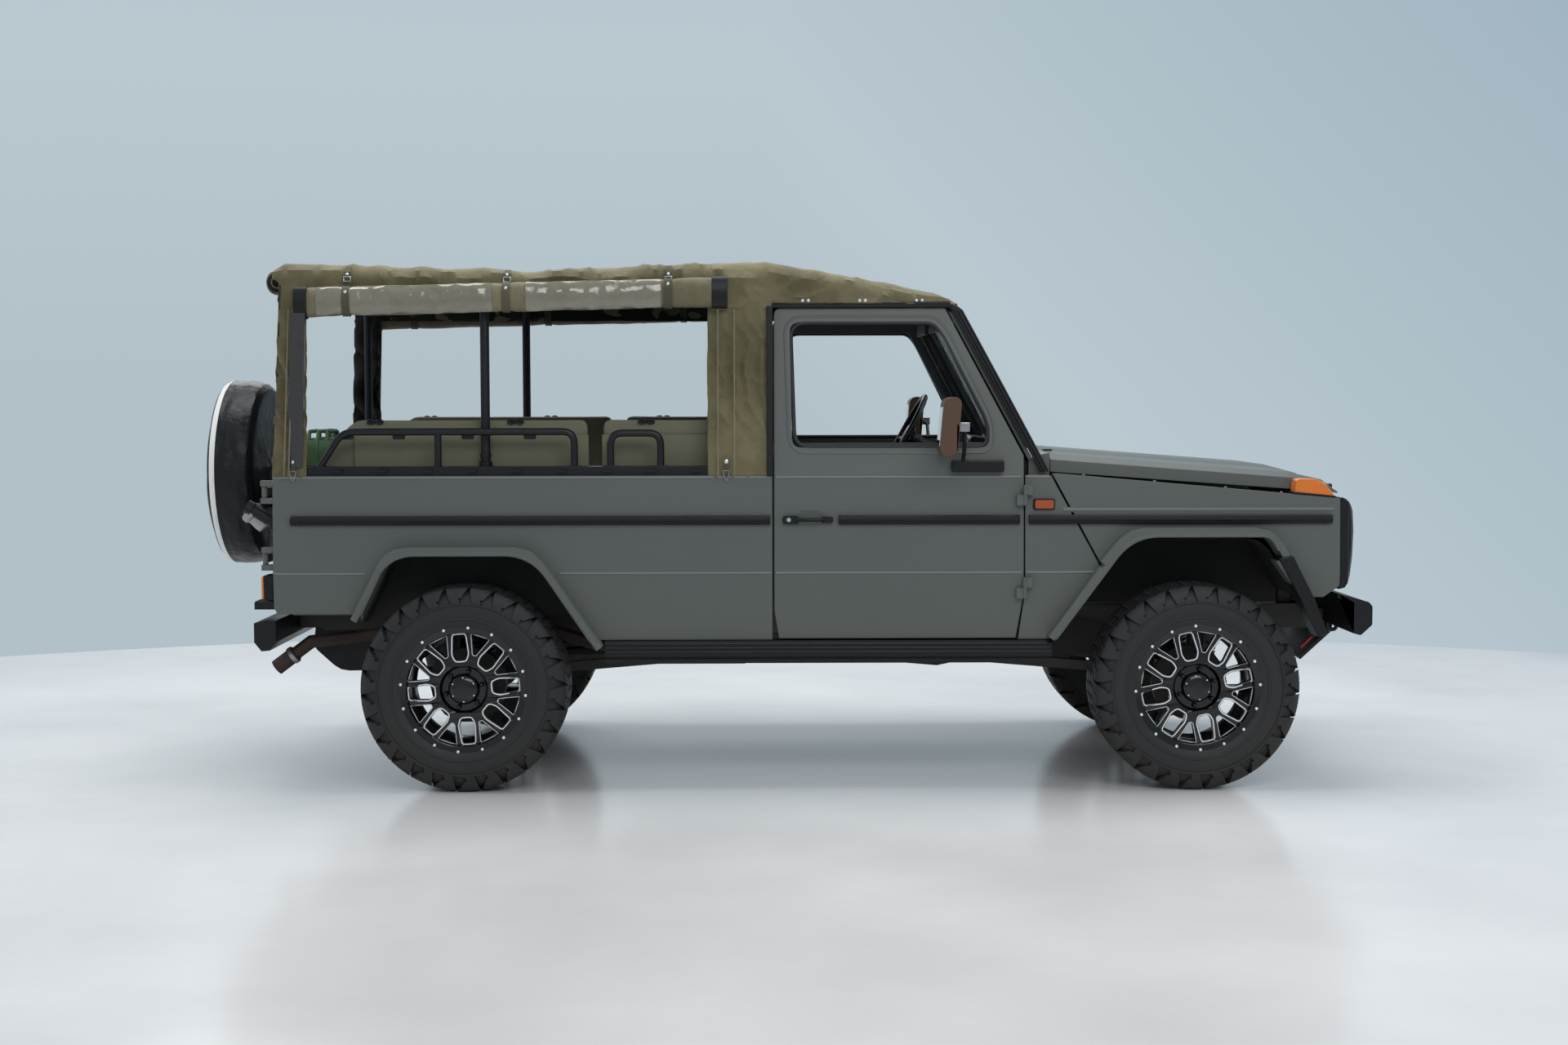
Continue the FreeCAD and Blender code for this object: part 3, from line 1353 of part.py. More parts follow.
# Canvas roof and what carries it
def canopy_outer(grow):
    """side outline and cross-section of the canvas roof, drawn in by grow"""
    side = [
        (ahead(-738 + grow), size["belt_height"]),
        (ahead(-704 + grow), roof_top - grow, 30),
        (ahead(1184), roof_top - grow, 200),
        (ahead(1858), roof_top - 122 - grow, 40),
        (ahead(1926 - grow), size["rake_top"] + 6),
        (ahead(1926 - grow), size["belt_height"]),
    ]
    half = size["roof_half_width"] - grow
    section = [
        (-size["belt_half_width"] + grow, size["belt_height"]),
        (-half - 5, roof_top - 164),
        (-half, roof_top - grow - 30, 60),
        (0, roof_top + 2 - grow),
        (half, roof_top - grow - 30, 60),
        (half + 5, roof_top - 164),
        (size["belt_half_width"] - grow, size["belt_height"]),
    ]
    return side, section


def canopy():
    """canvas roof: hollow, open at the sides, over the doors and at the back"""
    shapes = []
    for name, grow in (("outer", 0), ("inner", size["canvas"])):
        side, section = canopy_outer(grow)
        if grow:
            side[0] = (side[0][0], side[0][1] - 20)
            side[-1] = (side[-1][0], side[-1][1] - 20)
            section[0] = (section[0][0], section[0][1] - 20)
            section[-1] = (section[-1][0], section[-1][1] - 20)
        long_form = plate(f"roof_{name}_side", "side", side, -900, 1800)
        cross_form = plate(f"roof_{name}_section", "cross", section, ahead(-800), 2900)
        shapes.append(common(f"roof_{name}", long_form, cross_form))
    shell = cut("roof_shell", shapes[0], shapes[1])
    tools = [
        block("side_opening", (ahead(-612), -900, 1200), (ahead(951), 900, roof_top - 194)),
        block("door_opening", (ahead(size["door_rear"] - DOOR_GAP - 2), -900, 1200), (ahead(1999), 900, size["rake_top"] + 4)),
        block("tail_opening", (ahead(-800), -610, 1200), (ahead(-660), 610, roof_top - 124)),
    ]
    keep(cut("canopy_solid", shell, fuse("canopy_openings", tools)), "canopy")


def curtain_rolls():
    """rolled-up side windows under the roof edge and the rolled-up rear curtain"""
    half = size["roof_half_width"] + 5
    section = [
        (-half - 4.5, roof_top - 218),
        (-half - 18, roof_top - 226),
        (-half - 44, roof_top - 222),
        (-half - 56, roof_top - 198),
        (-half - 52, roof_top - 124),
        (-half - 30, roof_top - 104),
        (-half - 4.5, roof_top - 106),
    ]
    sketch = doc.addObject("Sketcher::SketchObject", "roll_section")
    sketch.Placement = Placement(Vector(ahead(-617), 0, 0), PLANES["cross"][1])
    sketch.addGeometry(outline(section), False)
    roll = doc.addObject("Part::Extrusion", "side_roll")
    roll.Base = sketch
    roll.DirMode = "Custom"
    roll.Dir = Vector(1595, 0, 38)
    roll.LengthFwd = Vector(1595, 0, 38).Length
    roll.Solid = True
    back = ahead(-708) - SEAT
    rear = plate("rear_roll", "side", [
        (back, roof_top - 104),
        (back, roof_top - 64),
        (back - 24, roof_top - 34),
        (back - 60, roof_top - 30),
        (back - 88, roof_top - 60),
        (back - 90, roof_top - 102),
        (back - 62, roof_top - 130),
        (back - 26, roof_top - 128),
    ], -600, 1200)
    keep(group("roll_group", [roll, mirrored("side_roll_left", roll), rear]), "curtain_rolls")


def canopy_frame():
    """three hoops with their posts, and the long roof tubes"""
    radius = cell("tube_radius")
    y = size["hoop_offset"]
    top = roof_top - size["canvas"] - 30 - size["tube_radius"] - 4
    low = size["belt_height"] + RAIL_RISE
    pieces = []
    for station in (size["hoop_station"], -650, 1105):
        x = ahead(station)
        pieces.append(tube("hoop", [
            (x, -y, low),
            (x, -y, top - 80),
            (x, -y + 70, top),
            (x, y - 70, top),
            (x, y, top - 80),
            (x, y, low),
        ], radius))
    for side in (-1, 1):
        pieces.append(rod("roof_tube", (ahead(-650), side * (y - 78), top), (ahead(1105), side * (y - 78), top), 14, 6))
    keep(fuse("canopy_frame_solid", pieces), "canopy_frame")


def bed_rails():
    """black rails on the body sides, with the tube loops that guard the bench backs"""
    belt = size["belt_half_width"]
    low = size["belt_height"]
    high = low + RAIL_RISE
    rail = block("bed_rail", (ahead(-size["body_rear"]) + 17, -belt + 14, low), (ahead(1196), -belt + 50, high))
    shelf = block("rail_shelf", (ahead(-700), -belt + 40, high - 14), (ahead(1190), -BENCH_BACK - 8 - SEAT, high))
    y = -belt + 30
    top = 1398
    radius = cell("rail_tube_radius")
    loops = [
        tube("long_loop", [
            (ahead(-566), y, low + 30),
            (ahead(-474), y, top),
            (ahead(404), y, top),
            (ahead(428), y, top - 30),
            (ahead(428), y, low + 30),
        ], radius),
        rod("loop_post", (ahead(-102), y, low + 30), (ahead(-102), y, top), radius, 6),
        tube("short_loop", [
            (ahead(569), y, low + 30),
            (ahead(569), y, top - 44),
            (ahead(604), y, top - 8),
            (ahead(728), y, top - 8),
            (ahead(764), y, top - 44),
            (ahead(764), y, low + 30),
        ], radius),
    ]
    right = fuse("rail_right_solid", [rail, shelf] + loops)
    keep(group("bed_rail_group", [right, mirrored("rail_left_solid", right)]), "bed_rails")


def benches():
    """bench frames with their seats and backs along both sides, and the fuel can on its stand"""
    frames = []
    cushions = []
    depth = size["bench_back_depth"]
    front_y = -300
    for rear, front in BENCHES:
        seat_top = size["arch_height_rear"] + size["bench_over_arch"]
        back_top = seat_top + size["bench_back_height"]
        under = seat_top - 60
        corner = [(ahead(rear), back_top, 45), (ahead(rear), seat_top + 20)]
        if rear < 0:
            corner = [(ahead(BACK_REAR + BACK_SLOPE), back_top, 30), (ahead(BACK_REAR), back_top - BACK_SLOPE),
                      (ahead(BACK_REAR), seat_top + 20)]
        cushions.append(plate("bench_back", "side", [
            (ahead(front), seat_top + 20),
            (ahead(front), back_top, 45),
        ] + corner, BENCH_BACK - depth, cell("bench_back_depth")))
        cushions.append(block("bench_seat", (ahead(rear), -BENCH_BACK + 10, under + SEAT), (ahead(front), front_y, seat_top)))
        low = size["bed_floor"]
        frames.append(fuse("bench_frame", [
            block("bench_pan", (ahead(rear), -BENCH_BACK + 10, under - 24), (ahead(front), front_y, under)),
            block("bench_leg_rear", (ahead(rear + 30), front_y - 45, low), (ahead(rear + 55), front_y - 20, under - 10)),
            block("bench_leg_front", (ahead(front - 55), front_y - 45, low), (ahead(front - 30), front_y - 20, under - 10)),
            block("back_plate", (corner[0][0], -BENCH_BACK - 8, under - 24),
                  (ahead(front), -BENCH_BACK - SEAT, back_top - 60)),
            block("back_foot", (ahead(rear), -BENCH_BACK - 8, under - 24), (ahead(front), -BENCH_BACK + 12, under)),
        ]))
    frames += [mirrored("left_" + item.Name, item) for item in list(frames)]
    cushions += [mirrored("left_" + item.Name, item) for item in list(cushions)]
    keep(group("bench_frame_group", frames), "bench_frames")
    keep(group("bench_cushion_group", cushions), "bench_cushions")
    can = plate("can_outline", "cross", [
        (-608, 936, 20),
        (-608, 1404, 40),
        (-298, 1404, 40),
        (-298, 936, 20),
    ], ahead(-664), 120)
    tray = block("can_tray", (ahead(-668), -611, 920), (ahead(-538), -293, 936 - SEAT))
    legs = [block("can_leg", (ahead(-612), y, size["bed_floor"]), (ahead(-592), y + 20, 922)) for y in (-606, -340)]
    keep(can, "jerry_can")
    keep(fuse("can_holder", [tray] + legs), "can_stand")


def front_seats():
    """driver's and passenger's seats on their boxes"""
    pieces = []
    for y in (-360, 360):
        box = block("seat_box", (ahead(1330), y - 200, size["cab_floor"]), (ahead(1720), y + 200, 810))
        cushion = plate("seat_cushion", "side", [
            (ahead(1290), 790),
            (ahead(1790), 800),
            (ahead(1796), 900),
            (ahead(1764), 926),
            (ahead(1290), 900),
        ], -y - 245, 490)
        back = plate("seat_back", "side", [
            (ahead(1290), 870),
            (ahead(1390), 870),
            (ahead(1282), 1370),
            (ahead(1256), 1400),
            (ahead(1206), 1396),
            (ahead(1200), 1300),
        ], -y - 235, 470)
        pieces.append(fuse("front_seat", [box, cushion, back]))
    keep(group("front_seat_group", pieces), "front_seats")


STEERING_TILT = 28.3
wheel_centre = Vector(ahead(1792), 360, 1365)
column_way = Vector(math.cos(math.radians(STEERING_TILT)), 0, -math.sin(math.radians(STEERING_TILT)))


def dashboard():
    """dashboard across the scuttle, with the steering column"""
    inner = size["belt_half_width"] - size["side_wall"] - 14
    back = ahead(2202) - SEAT
    board = plate("dash_panel", "side", [
        (ahead(2082), 1180),
        (ahead(2060), 1280),
        (ahead(2100), 1314),
        (back - 40, 1310),
        (back, 1270),
        (back, 1170),
    ], -inner + 12, 2 * inner - 24)
    start = wheel_centre + column_way * (40 + SEAT)
    end = wheel_centre + column_way * ((ahead(CAB_FRONT) - wheel_centre.x) / column_way.x - 20)
    column = rod("steering_column", tuple(start), tuple(end), 26, 10)
    keep(fuse("dashboard_solid", [board, column]), "dashboard")


def steering_wheel():
    """steering wheel: rim, hub and three spokes in a plane that leans forward"""
    rim = size["steering_wheel_radius"]
    ring = [(12, rim - 13), (-1, rim), (-14, rim - 13), (-1, rim - 26)]
    wheel = faceted_ring(ring, 20, Vector(0, 0, 0))
    pieces = [faceted_pin(38, 10, -40, 12, Vector(0, 0, 0))]
    for angle in (90, 210, 330):
        spoke = Part.makeBox(34, 10, rim - 30)
        spoke.translate(Vector(-17, -6, 20))
        spoke.rotate(Vector(0, 0, 0), Vector(0, 1, 0), angle)
        pieces.append(spoke)
    whole = wheel.fuse(pieces).removeSplitter()
    item = doc.addObject("Part::Feature", "steering_wheel_solid")
    item.Shape = whole
    item.Placement = Placement(wheel_centre, Rotation(Vector(0, 1, 0), -column_way))
    keep(item, "steering_wheel")


wheels()
axles()
knuckles()
tie_rod()
ladder_frame()
suspension()
driveline()
exhaust()
fuel_tank()
side_panels()
floor_tub()
load_mat()
sills()
cowl()
windscreen()
fenders()
bonnet()
grille()
lamps()
bumpers()
doors()
tail_door()
canopy()
curtain_rolls()
canopy_frame()
bed_rails()
benches()
front_seats()
dashboard()
steering_wheel()
doc.recompute()

for item in doc.Objects:
    if "Invalid" in item.State or "Error" in item.State:
        raise RuntimeError(f"{item.Name} failed: {item.State}")
for item in made:
    shape = item.Shape
    if shape.isNull() or not shape.isValid() or not shape.Solids:
        raise RuntimeError(f"{item.Label} has no valid solid")
    shape.exportStep(f"parts/{item.Label}.step")
    box = shape.BoundBox
    print(f"{item.Label:22s} {len(shape.Solids)} solids  x {box.XMin:.0f}..{box.XMax:.0f}"
          f"  y {box.YMin:.0f}..{box.YMax:.0f}  z {box.ZMin:.0f}..{box.ZMax:.0f}")
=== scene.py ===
# %% [markdown]
# # An open army 4x4 car with a canvas roof
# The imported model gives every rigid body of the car: frame, axles, doors, bonnet, wheels. This lesson
# dresses it. Rigid panels keep their shape and get a procedural paint, while wheels, canvas, cushions
# and small trim are modelled here, because they are what the eye goes to first.

# %% Load the frame
import bpy
import bmesh
import math
from mathutils import Matrix, Vector, noise


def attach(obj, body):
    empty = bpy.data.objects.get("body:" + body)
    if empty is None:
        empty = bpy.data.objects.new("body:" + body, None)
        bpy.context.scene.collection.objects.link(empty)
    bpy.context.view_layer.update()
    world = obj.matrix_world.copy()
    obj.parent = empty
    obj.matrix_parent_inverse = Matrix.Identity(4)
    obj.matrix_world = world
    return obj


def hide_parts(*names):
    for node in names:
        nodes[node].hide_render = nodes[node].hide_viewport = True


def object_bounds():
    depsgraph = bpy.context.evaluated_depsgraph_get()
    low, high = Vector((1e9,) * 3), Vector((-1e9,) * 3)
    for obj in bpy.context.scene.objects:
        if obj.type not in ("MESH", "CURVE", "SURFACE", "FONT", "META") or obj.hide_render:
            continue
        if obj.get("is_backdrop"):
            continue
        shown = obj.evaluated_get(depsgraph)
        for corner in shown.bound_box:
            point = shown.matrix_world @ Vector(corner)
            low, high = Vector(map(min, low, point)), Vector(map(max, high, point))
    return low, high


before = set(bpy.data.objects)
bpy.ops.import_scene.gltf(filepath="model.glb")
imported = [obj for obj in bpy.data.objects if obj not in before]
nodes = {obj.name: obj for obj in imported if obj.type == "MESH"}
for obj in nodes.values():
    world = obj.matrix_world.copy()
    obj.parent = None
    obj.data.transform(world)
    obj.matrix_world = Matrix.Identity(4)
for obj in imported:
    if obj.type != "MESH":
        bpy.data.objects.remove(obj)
cad_low, cad_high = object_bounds()
REAR_AXLE = -1.215
FRONT_AXLE = 1.635
HUB = 0.401
TRACK = 0.737
TAU = 2 * math.pi
SIDES = (("right", -1), ("left", 1))
print("CAD box", tuple(round(v, 3) for v in cad_low), tuple(round(v, 3) for v in cad_high))

# %% [markdown]
# ## Measures
# Lengths along the car are read from the rear axle, as on a workshop drawing, in millimetres. One
# helper turns such a triple into metres in the model's own frame, and another turns a picture's colour
# into the linear values that shaders use.

# %% Points and colours
def at(x, y, z):
    return Vector((x / 1000 + REAR_AXLE, y / 1000, z / 1000))


def rgb(red, green, blue):
    def linear(value):
        value = value / 255
        return value / 12.92 if value <= 0.04045 else ((value + 0.055) / 1.055) ** 2.4
    return (linear(red), linear(green), linear(blue), 1.0)


# %% [markdown]
# ## Camera
# The car is seen square from its right side, from about 8.7 m away and a little over belt height. The
# lens is a moderate telephoto for a full-frame sensor, so the wheels stay nearly round.

# %% Make the camera
scene = bpy.context.scene
camera_data = bpy.data.cameras.new("camera")
camera_data.lens = 46.68
camera_data.sensor_width = 36
camera_data.clip_end = 200
camera = bpy.data.objects.new("camera", camera_data)
camera.location = (-0.0476, -8.682, 1.5408)
camera.rotation_euler = (math.radians(90 - 3.602), math.radians(0.085), math.radians(-0.559))
scene.collection.objects.link(camera)
scene.camera = camera
scene.view_settings.view_transform = "Standard"

# %% [markdown]
# ## Node trees
# A material is written as a few nested nodes. The helper sets a node's options, then its inputs: an
# input is either a plain value, or a pair of another node and the name of its output, which is linked.

# %% Node helpers
def new_node(tree, kind, inputs=None, **options):
    node = tree.nodes.new(kind)
    for key, value in options.items():
        setattr(node, key, value)
    for key, value in (inputs or {}).items():
        if isinstance(value, tuple) and isinstance(value[0], bpy.types.Node):
            tree.links.new(value[0].outputs[value[1]], node.inputs[key])
        else:
            node.inputs[key].default_value = value
    return node


def new_material(name):
    """An empty material, its tree and the object's own coordinates."""
    material = bpy.data.materials.new(name)
    material.use_nodes = True
    tree = material.node_tree
    tree.nodes.clear()
    return material, tree, (new_node(tree, "ShaderNodeTexCoord"), "Object")


def noise_node(tree, where, scale, detail, **inputs):
    return new_node(tree, "ShaderNodeTexNoise", {"Vector": where, "Scale": scale, "Detail": detail, **inputs})


def bump_node(tree, strength, distance, height, **inputs):
    settings = {"Strength": strength, "Distance": distance, "Height": height, **inputs}
    return new_node(tree, "ShaderNodeBump", settings)


def math_node(tree, operation, first, second, **options):
    return new_node(tree, "ShaderNodeMath", {0: first, 1: second}, operation=operation, **options)


def mixed(tree, factor, first, second):
    """Two colours mixed by a factor: the pair to link."""
    return new_node(tree, "ShaderNodeMix", {"Factor": factor, 6: first, 7: second}, data_type="RGBA"), 2


def ramp_node(tree, factor, *stops):
    """A colour ramp with (position, colour) stops."""
    ramp = new_node(tree, "ShaderNodeValToRGB", {"Fac": factor})
    elements = ramp.color_ramp.elements
    for element, (position, colour) in zip((elements[0], elements[1]), (stops[0], stops[-1])):
        element.position = position
        element.color = rgb(*colour)
    for position, colour in stops[1:-1]:
        elements.new(position).color = rgb(*colour)
    return ramp


def finished(tree, surface, kind="ShaderNodeOutputMaterial"):
    """The surface or background shown by the tree's output."""
    new_node(tree, kind, {"Surface": surface})


# %% [markdown]
# ## Studio
# A pale, slightly glossy floor runs up to a plain blue-grey wall. The wall is only the world's colour,
# so it never stands in the way of another view. Five wide lamps give soft shadows.

# %% Floor
floor_material, tree, where = new_material("studio_floor")
patches = noise_node(tree, where, 0.8, 6.0)
ripple = noise_node(tree, where, 9.0, 3.0)
tone = ramp_node(tree, (patches, "Fac"), (0.35, (211, 213, 216)), (0.65, (224, 226, 229)))
gloss = new_node(tree, "ShaderNodeMapRange", {"Value": (patches, "Fac"), "To Min": 0.10, "To Max": 0.24})
relief = bump_node(tree, 0.05, 0.01, (ripple, "Fac"))
surface = new_node(tree, "ShaderNodeBsdfPrincipled", {
    "Specular IOR Level": 0.6, "Base Color": (tone, "Color"), "Roughness": (gloss, "Result"),
    "Normal": (relief, "Normal")})
finished(tree, (surface, "BSDF"))

FLOOR_RADIUS, FLOOR_MIDDLE, FLOOR_CORNERS = 9.4, -4.9, 144
floor_mesh = bpy.data.meshes.new("floor")
turns = [TAU * k / FLOOR_CORNERS for k in range(FLOOR_CORNERS)]
corners = [(FLOOR_RADIUS * math.cos(a), FLOOR_RADIUS * math.sin(a) + FLOOR_MIDDLE, 0) for a in turns]
floor_mesh.from_pydata(corners, [], [list(range(FLOOR_CORNERS))])
floor_mesh.materials.append(floor_material)
floor = bpy.data.objects.new("floor", floor_mesh)
scene.collection.objects.link(floor)
floor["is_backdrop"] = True

# %% Wall and lamps
world = bpy.data.worlds.new("studio")
scene.world = world
world.use_nodes = True
tree = world.node_tree
tree.nodes.clear()
coordinates = new_node(tree, "ShaderNodeTexCoord")
split = new_node(tree, "ShaderNodeSeparateXYZ", {"Vector": (coordinates, "Generated")})
up = math_node(tree, "MULTIPLY", (split, "Z"), 0.5)
across = math_node(tree, "MULTIPLY", (split, "X"), 0.55, use_clamp=True)
both = math_node(tree, "ADD", (up, "Value"), (across, "Value"))
wall = ramp_node(tree, (both, "Value"), (0.0, (178, 192, 200)), (0.08, (186, 200, 208)),
                 (0.30, (160, 180, 192)))
seen = new_node(tree, "ShaderNodeBackground", {"Color": (wall, "Color"), "Strength": 1.0})
fill = new_node(tree, "ShaderNodeBackground", {"Color": rgb(226, 229, 232), "Strength": 0.52})
path = new_node(tree, "ShaderNodeLightPath")
mirrored = math_node(tree, "MAXIMUM", (path, "Is Camera Ray"), (path, "Is Glossy Ray"))
direct = math_node(tree, "MAXIMUM", (mirrored, "Value"), (path, "Is Transmission Ray"))
choose = new_node(tree, "ShaderNodeMixShader", {
    "Fac": (direct, "Value"), 1: (fill, "Background"), 2: (seen, "Background")})
finished(tree, (choose, "Shader"), "ShaderNodeOutputWorld")

LAMPS = (("over", (0, 0.2, 6.0), 0, 7.5, 3.0, 290), ("right", (1.5, -6.5, 5.2), 0.9, 6.0, 2.5, 185),
         ("left", (-1.5, 6.5, 5.2), 0.9, 6.0, 2.5, 185), ("front", (7.0, 0.5, 4.5), 0.9, 3.0, 3.0, 90),
         ("rear", (-7.0, -0.5, 4.5), 0.9, 3.0, 3.0, 90))
for label, place, aim_height, length, width, power in LAMPS:
    data = bpy.data.lights.new(f"lamp_{label}", "AREA")
    data.shape = "RECTANGLE"
    data.size, data.size_y = length, width
    data.energy = power
    data.color = (1.0, 0.99, 0.97)
    lamp = bpy.data.objects.new(f"lamp_{label}", data)
    lamp.location = place
    lamp.rotation_euler = (Vector((0, 0, aim_height)) - Vector(place)).to_track_quat("-Z", "Y").to_euler()
    scene.collection.objects.link(lamp)
print("studio ready:", len(bpy.data.lights), "lamps")

# %% [markdown]
# ## Finishes
# One helper builds most surfaces. Its colour drifts a little in large patches and in fine speckle, its
# gloss follows the same patches, a fine grain gives relief, and dust gathers towards the floor. The
# values that stay the same all over the surface sit on the shader's own sockets.

# %% A finish with variation, grain and dust
DUST_COLOUR = (128, 121, 108)
finishes = {}


def finish(name, colour, rough, metal=0.0, vary=0.10, patch=2.2, grain=900.0, relief=0.12, depth=0.0006,
           dust=0.0, dust_height=0.75, worn=0.0, worn_colour=(150, 150, 148), soft_edge=0.0, **sockets):
    material, tree, where = new_material(name)
    patches = noise_node(tree, where, patch, 5.0, Roughness=0.6)
    speckle = noise_node(tree, where, grain, 2.0)
    dark, light = [tuple(min(1, c * share) for c in rgb(*colour)[:3]) + (1,)
                   for share in (1 - vary, 1 + vary)]
    shown = mixed(tree, (patches, "Fac"), dark, light)
    gloss = new_node(tree, "ShaderNodeMapRange", {
        "Value": (patches, "Fac"), "From Min": 0.3, "From Max": 0.7,
        "To Min": max(0.02, rough * 0.88), "To Max": min(1, rough * 1.12)})
    if worn:
        scuffs = noise_node(tree, where, 26.0, 8.0, Roughness=0.75)
        amount = new_node(tree, "ShaderNodeMapRange", {
            "Value": (scuffs, "Fac"), "From Min": 0.60, "From Max": 0.72, "To Max": worn})
        shown = mixed(tree, (amount, "Result"), shown, rgb(*worn_colour))
    if dust:
        height = new_node(tree, "ShaderNodeSeparateXYZ", {"Vector": where})
        fade = new_node(tree, "ShaderNodeMapRange", {
            "Value": (height, "Z"), "From Min": dust_height, "From Max": 0.0, "To Max": dust})
        cloud = math_node(tree, "MULTIPLY", (fade, "Result"), (patches, "Fac"))
        shown = mixed(tree, (cloud, "Value"), shown, rgb(*DUST_COLOUR))
    grained = bump_node(tree, relief, depth, (speckle, "Fac"))
    if soft_edge:
        rounding = new_node(tree, "ShaderNodeBevel", {"Radius": soft_edge}, samples=4)
        tree.links.new(rounding.outputs["Normal"], grained.inputs["Normal"])
    surface = new_node(tree, "ShaderNodeBsdfPrincipled", {
        "Metallic": metal, "Base Color": shown, "Roughness": (gloss, "Result"), "Normal": (grained, "Normal"),
        **{key.replace("_", " "): value for key, value in sockets.items()}})
    finished(tree, (surface, "BSDF"))
    finishes[name] = material
    return material


body_paint = finish("body_paint", (88, 93, 91), 0.46, vary=0.035, relief=0.05, dust=0.12, dust_height=0.9,
                    soft_edge=0.004, Specular_IOR_Level=0.4)
# A darker copy of the body paint for the handle's recess: painted shade.
recess_painted_shade = finish("recess_painted_shade", (78, 84, 79), 0.6, vary=0.05, relief=0.06)
# A paler body colour for the creases' upper edges: a painted highlight.
line_paint = finish("line_paint", (122, 128, 126), 0.4, vary=0.05, relief=0.05)
black_trim = finish("black_trim", (18, 19, 21), 0.42, vary=0.12, grain=1600, relief=0.25, dust=0.05,
                    soft_edge=0.003, Specular_IOR_Level=0.28)
satin_black = finish("satin_black", (19, 20, 23), 0.36, vary=0.12, relief=0.06, soft_edge=0.002,
                     Specular_IOR_Level=0.32)
hoop_paint = finish("hoop_paint", (22, 23, 26), 0.42, vary=0.12, relief=0.06, Specular_IOR_Level=0.3)
chassis_paint = finish("chassis_paint", (30, 30, 31), 0.62, vary=0.25, patch=7, grain=400, relief=0.3,
                       dust=0.45, dust_height=1.0, worn=0.5, worn_colour=(84, 66, 52))
# A near-black lining for the wheel arches: painted shade, with real dust towards the floor.
arch_painted_shade = finish("arch_lining", (15, 15, 16), 0.8, vary=0.3, patch=5, grain=300, relief=0.5, dust=0.25,
                   dust_height=1.0)
cast_metal = finish("cast_metal", (74, 72, 70), 0.6, metal=0.7, vary=0.25, patch=9, grain=500, relief=0.45,
                    dust=0.3, worn=0.6, worn_colour=(96, 70, 50))
rust = finish("rust", (58, 47, 42), 0.75, metal=0.3, vary=0.35, patch=14, grain=350, relief=0.6,
              worn=0.7, worn_colour=(98, 68, 52))
rim_black = finish("rim_black", (9, 9, 10), 0.16, vary=0.10, relief=0.03, Specular_IOR_Level=0.35,
                   Coat_Weight=0.3, Coat_Roughness=0.08)
milled = finish("milled_edge", (232, 233, 235), 0.3, metal=0.35, vary=0.03, grain=2500, relief=0.08)
bright_bolt = finish("bright_bolt", (205, 206, 210), 0.3, metal=1.0, vary=0.05, relief=0.05)
tyre_rubber = finish("tyre_rubber", (36, 36, 38), 0.6, vary=0.18, patch=6, grain=500, relief=0.35, dust=0.10,
                     dust_height=0.8, Specular_IOR_Level=0.35)
red_paint = finish("red_paint", (168, 28, 26), 0.4, vary=0.08, relief=0.05)
seat_cloth = finish("seat_cloth", (106, 107, 88), 0.85, vary=0.10, patch=6, grain=1200, relief=0.5,
                    depth=0.001, Sheen_Weight=0.2)
front_cloth = finish("front_cloth", (58, 58, 54), 0.88, vary=0.10, patch=6, grain=1200, relief=0.5,
                     depth=0.001, Sheen_Weight=0.25)
can_green = finish("can_green", (62, 92, 58), 0.5, vary=0.10, patch=8, relief=0.1, worn=0.35,
                   worn_colour=(60, 70, 52))
rubber = finish("rubber", (26, 26, 27), 0.6, vary=0.12, relief=0.12)
mirror_shell = finish("mirror_shell", (80, 54, 38), 0.5, vary=0.10, patch=18, relief=0.2)
grey_steel = finish("grey_steel", (150, 150, 150), 0.4, metal=0.9, vary=0.1, relief=0.1, worn=0.3,
                    worn_colour=(110, 96, 84))
cover_black = finish("cover_black", (15, 17, 21), 0.42, vary=0.15, patch=10, grain=30, relief=0.6,
                     depth=0.006, Specular_IOR_Level=0.3)
cover_white = finish("cover_white", (226, 228, 228), 0.6, vary=0.04, grain=1400, relief=0.2)
amber = finish("amber", (246, 132, 18), 0.14, vary=0.05, grain=260, relief=0.5, depth=0.0015,
               Transmission_Weight=0.25, Coat_Weight=0.5)
dark_amber = finish("dark_amber", (160, 70, 16), 0.2, vary=0.05, grain=300, relief=0.5, depth=0.0015,
                    Coat_Weight=0.4)
red_lens = finish("red_lens", (150, 16, 14), 0.14, vary=0.05, grain=260, relief=0.5, depth=0.0015,
                  Coat_Weight=0.5)
mirror_glass = finish("mirror_glass", (215, 220, 222), 0.03, metal=1.0, vary=0.01, relief=0.0)
reflector = finish("reflector", (228, 229, 232), 0.09, metal=1.0, vary=0.02, relief=0.02)
film = finish("window_film", (116, 112, 96), 0.13, vary=0.3, patch=7, grain=15, relief=1.0, depth=0.010,
              Coat_Weight=1.0, Coat_Roughness=0.04)
corner_film = finish("corner_film", (36, 31, 31), 0.34, vary=0.25, patch=6, grain=26, relief=0.8, depth=0.006,
                     Coat_Weight=0.7)
# Near-black canvas for the roof's underside and the rear roll's end: painted shade.
canvas_painted_shade = finish("canvas_inside_painted_shade", (24, 24, 21), 0.85, vary=0.15, patch=5, grain=700, relief=0.4)
print("finishes:", len(finishes))

# %% [markdown]
# ## Glass
# Clear panes need no grain: they are a Principled shader with full transmission and a slow ripple, so
# that a reflection in them bends a little.

# %% Clear panes
def clear(name, colour, rough):
    material, tree, where = new_material(name)
    ripple = noise_node(tree, where, 16.0, 2.0)
    bent_light = bump_node(tree, 0.1, 0.001, (ripple, "Fac"))
    surface = new_node(tree, "ShaderNodeBsdfPrincipled", {
        "Base Color": rgb(*colour), "Roughness": rough, "Transmission Weight": 1.0, "IOR": 1.45,
        "Normal": (bent_light, "Normal")})
    finished(tree, (surface, "BSDF"))
    return material


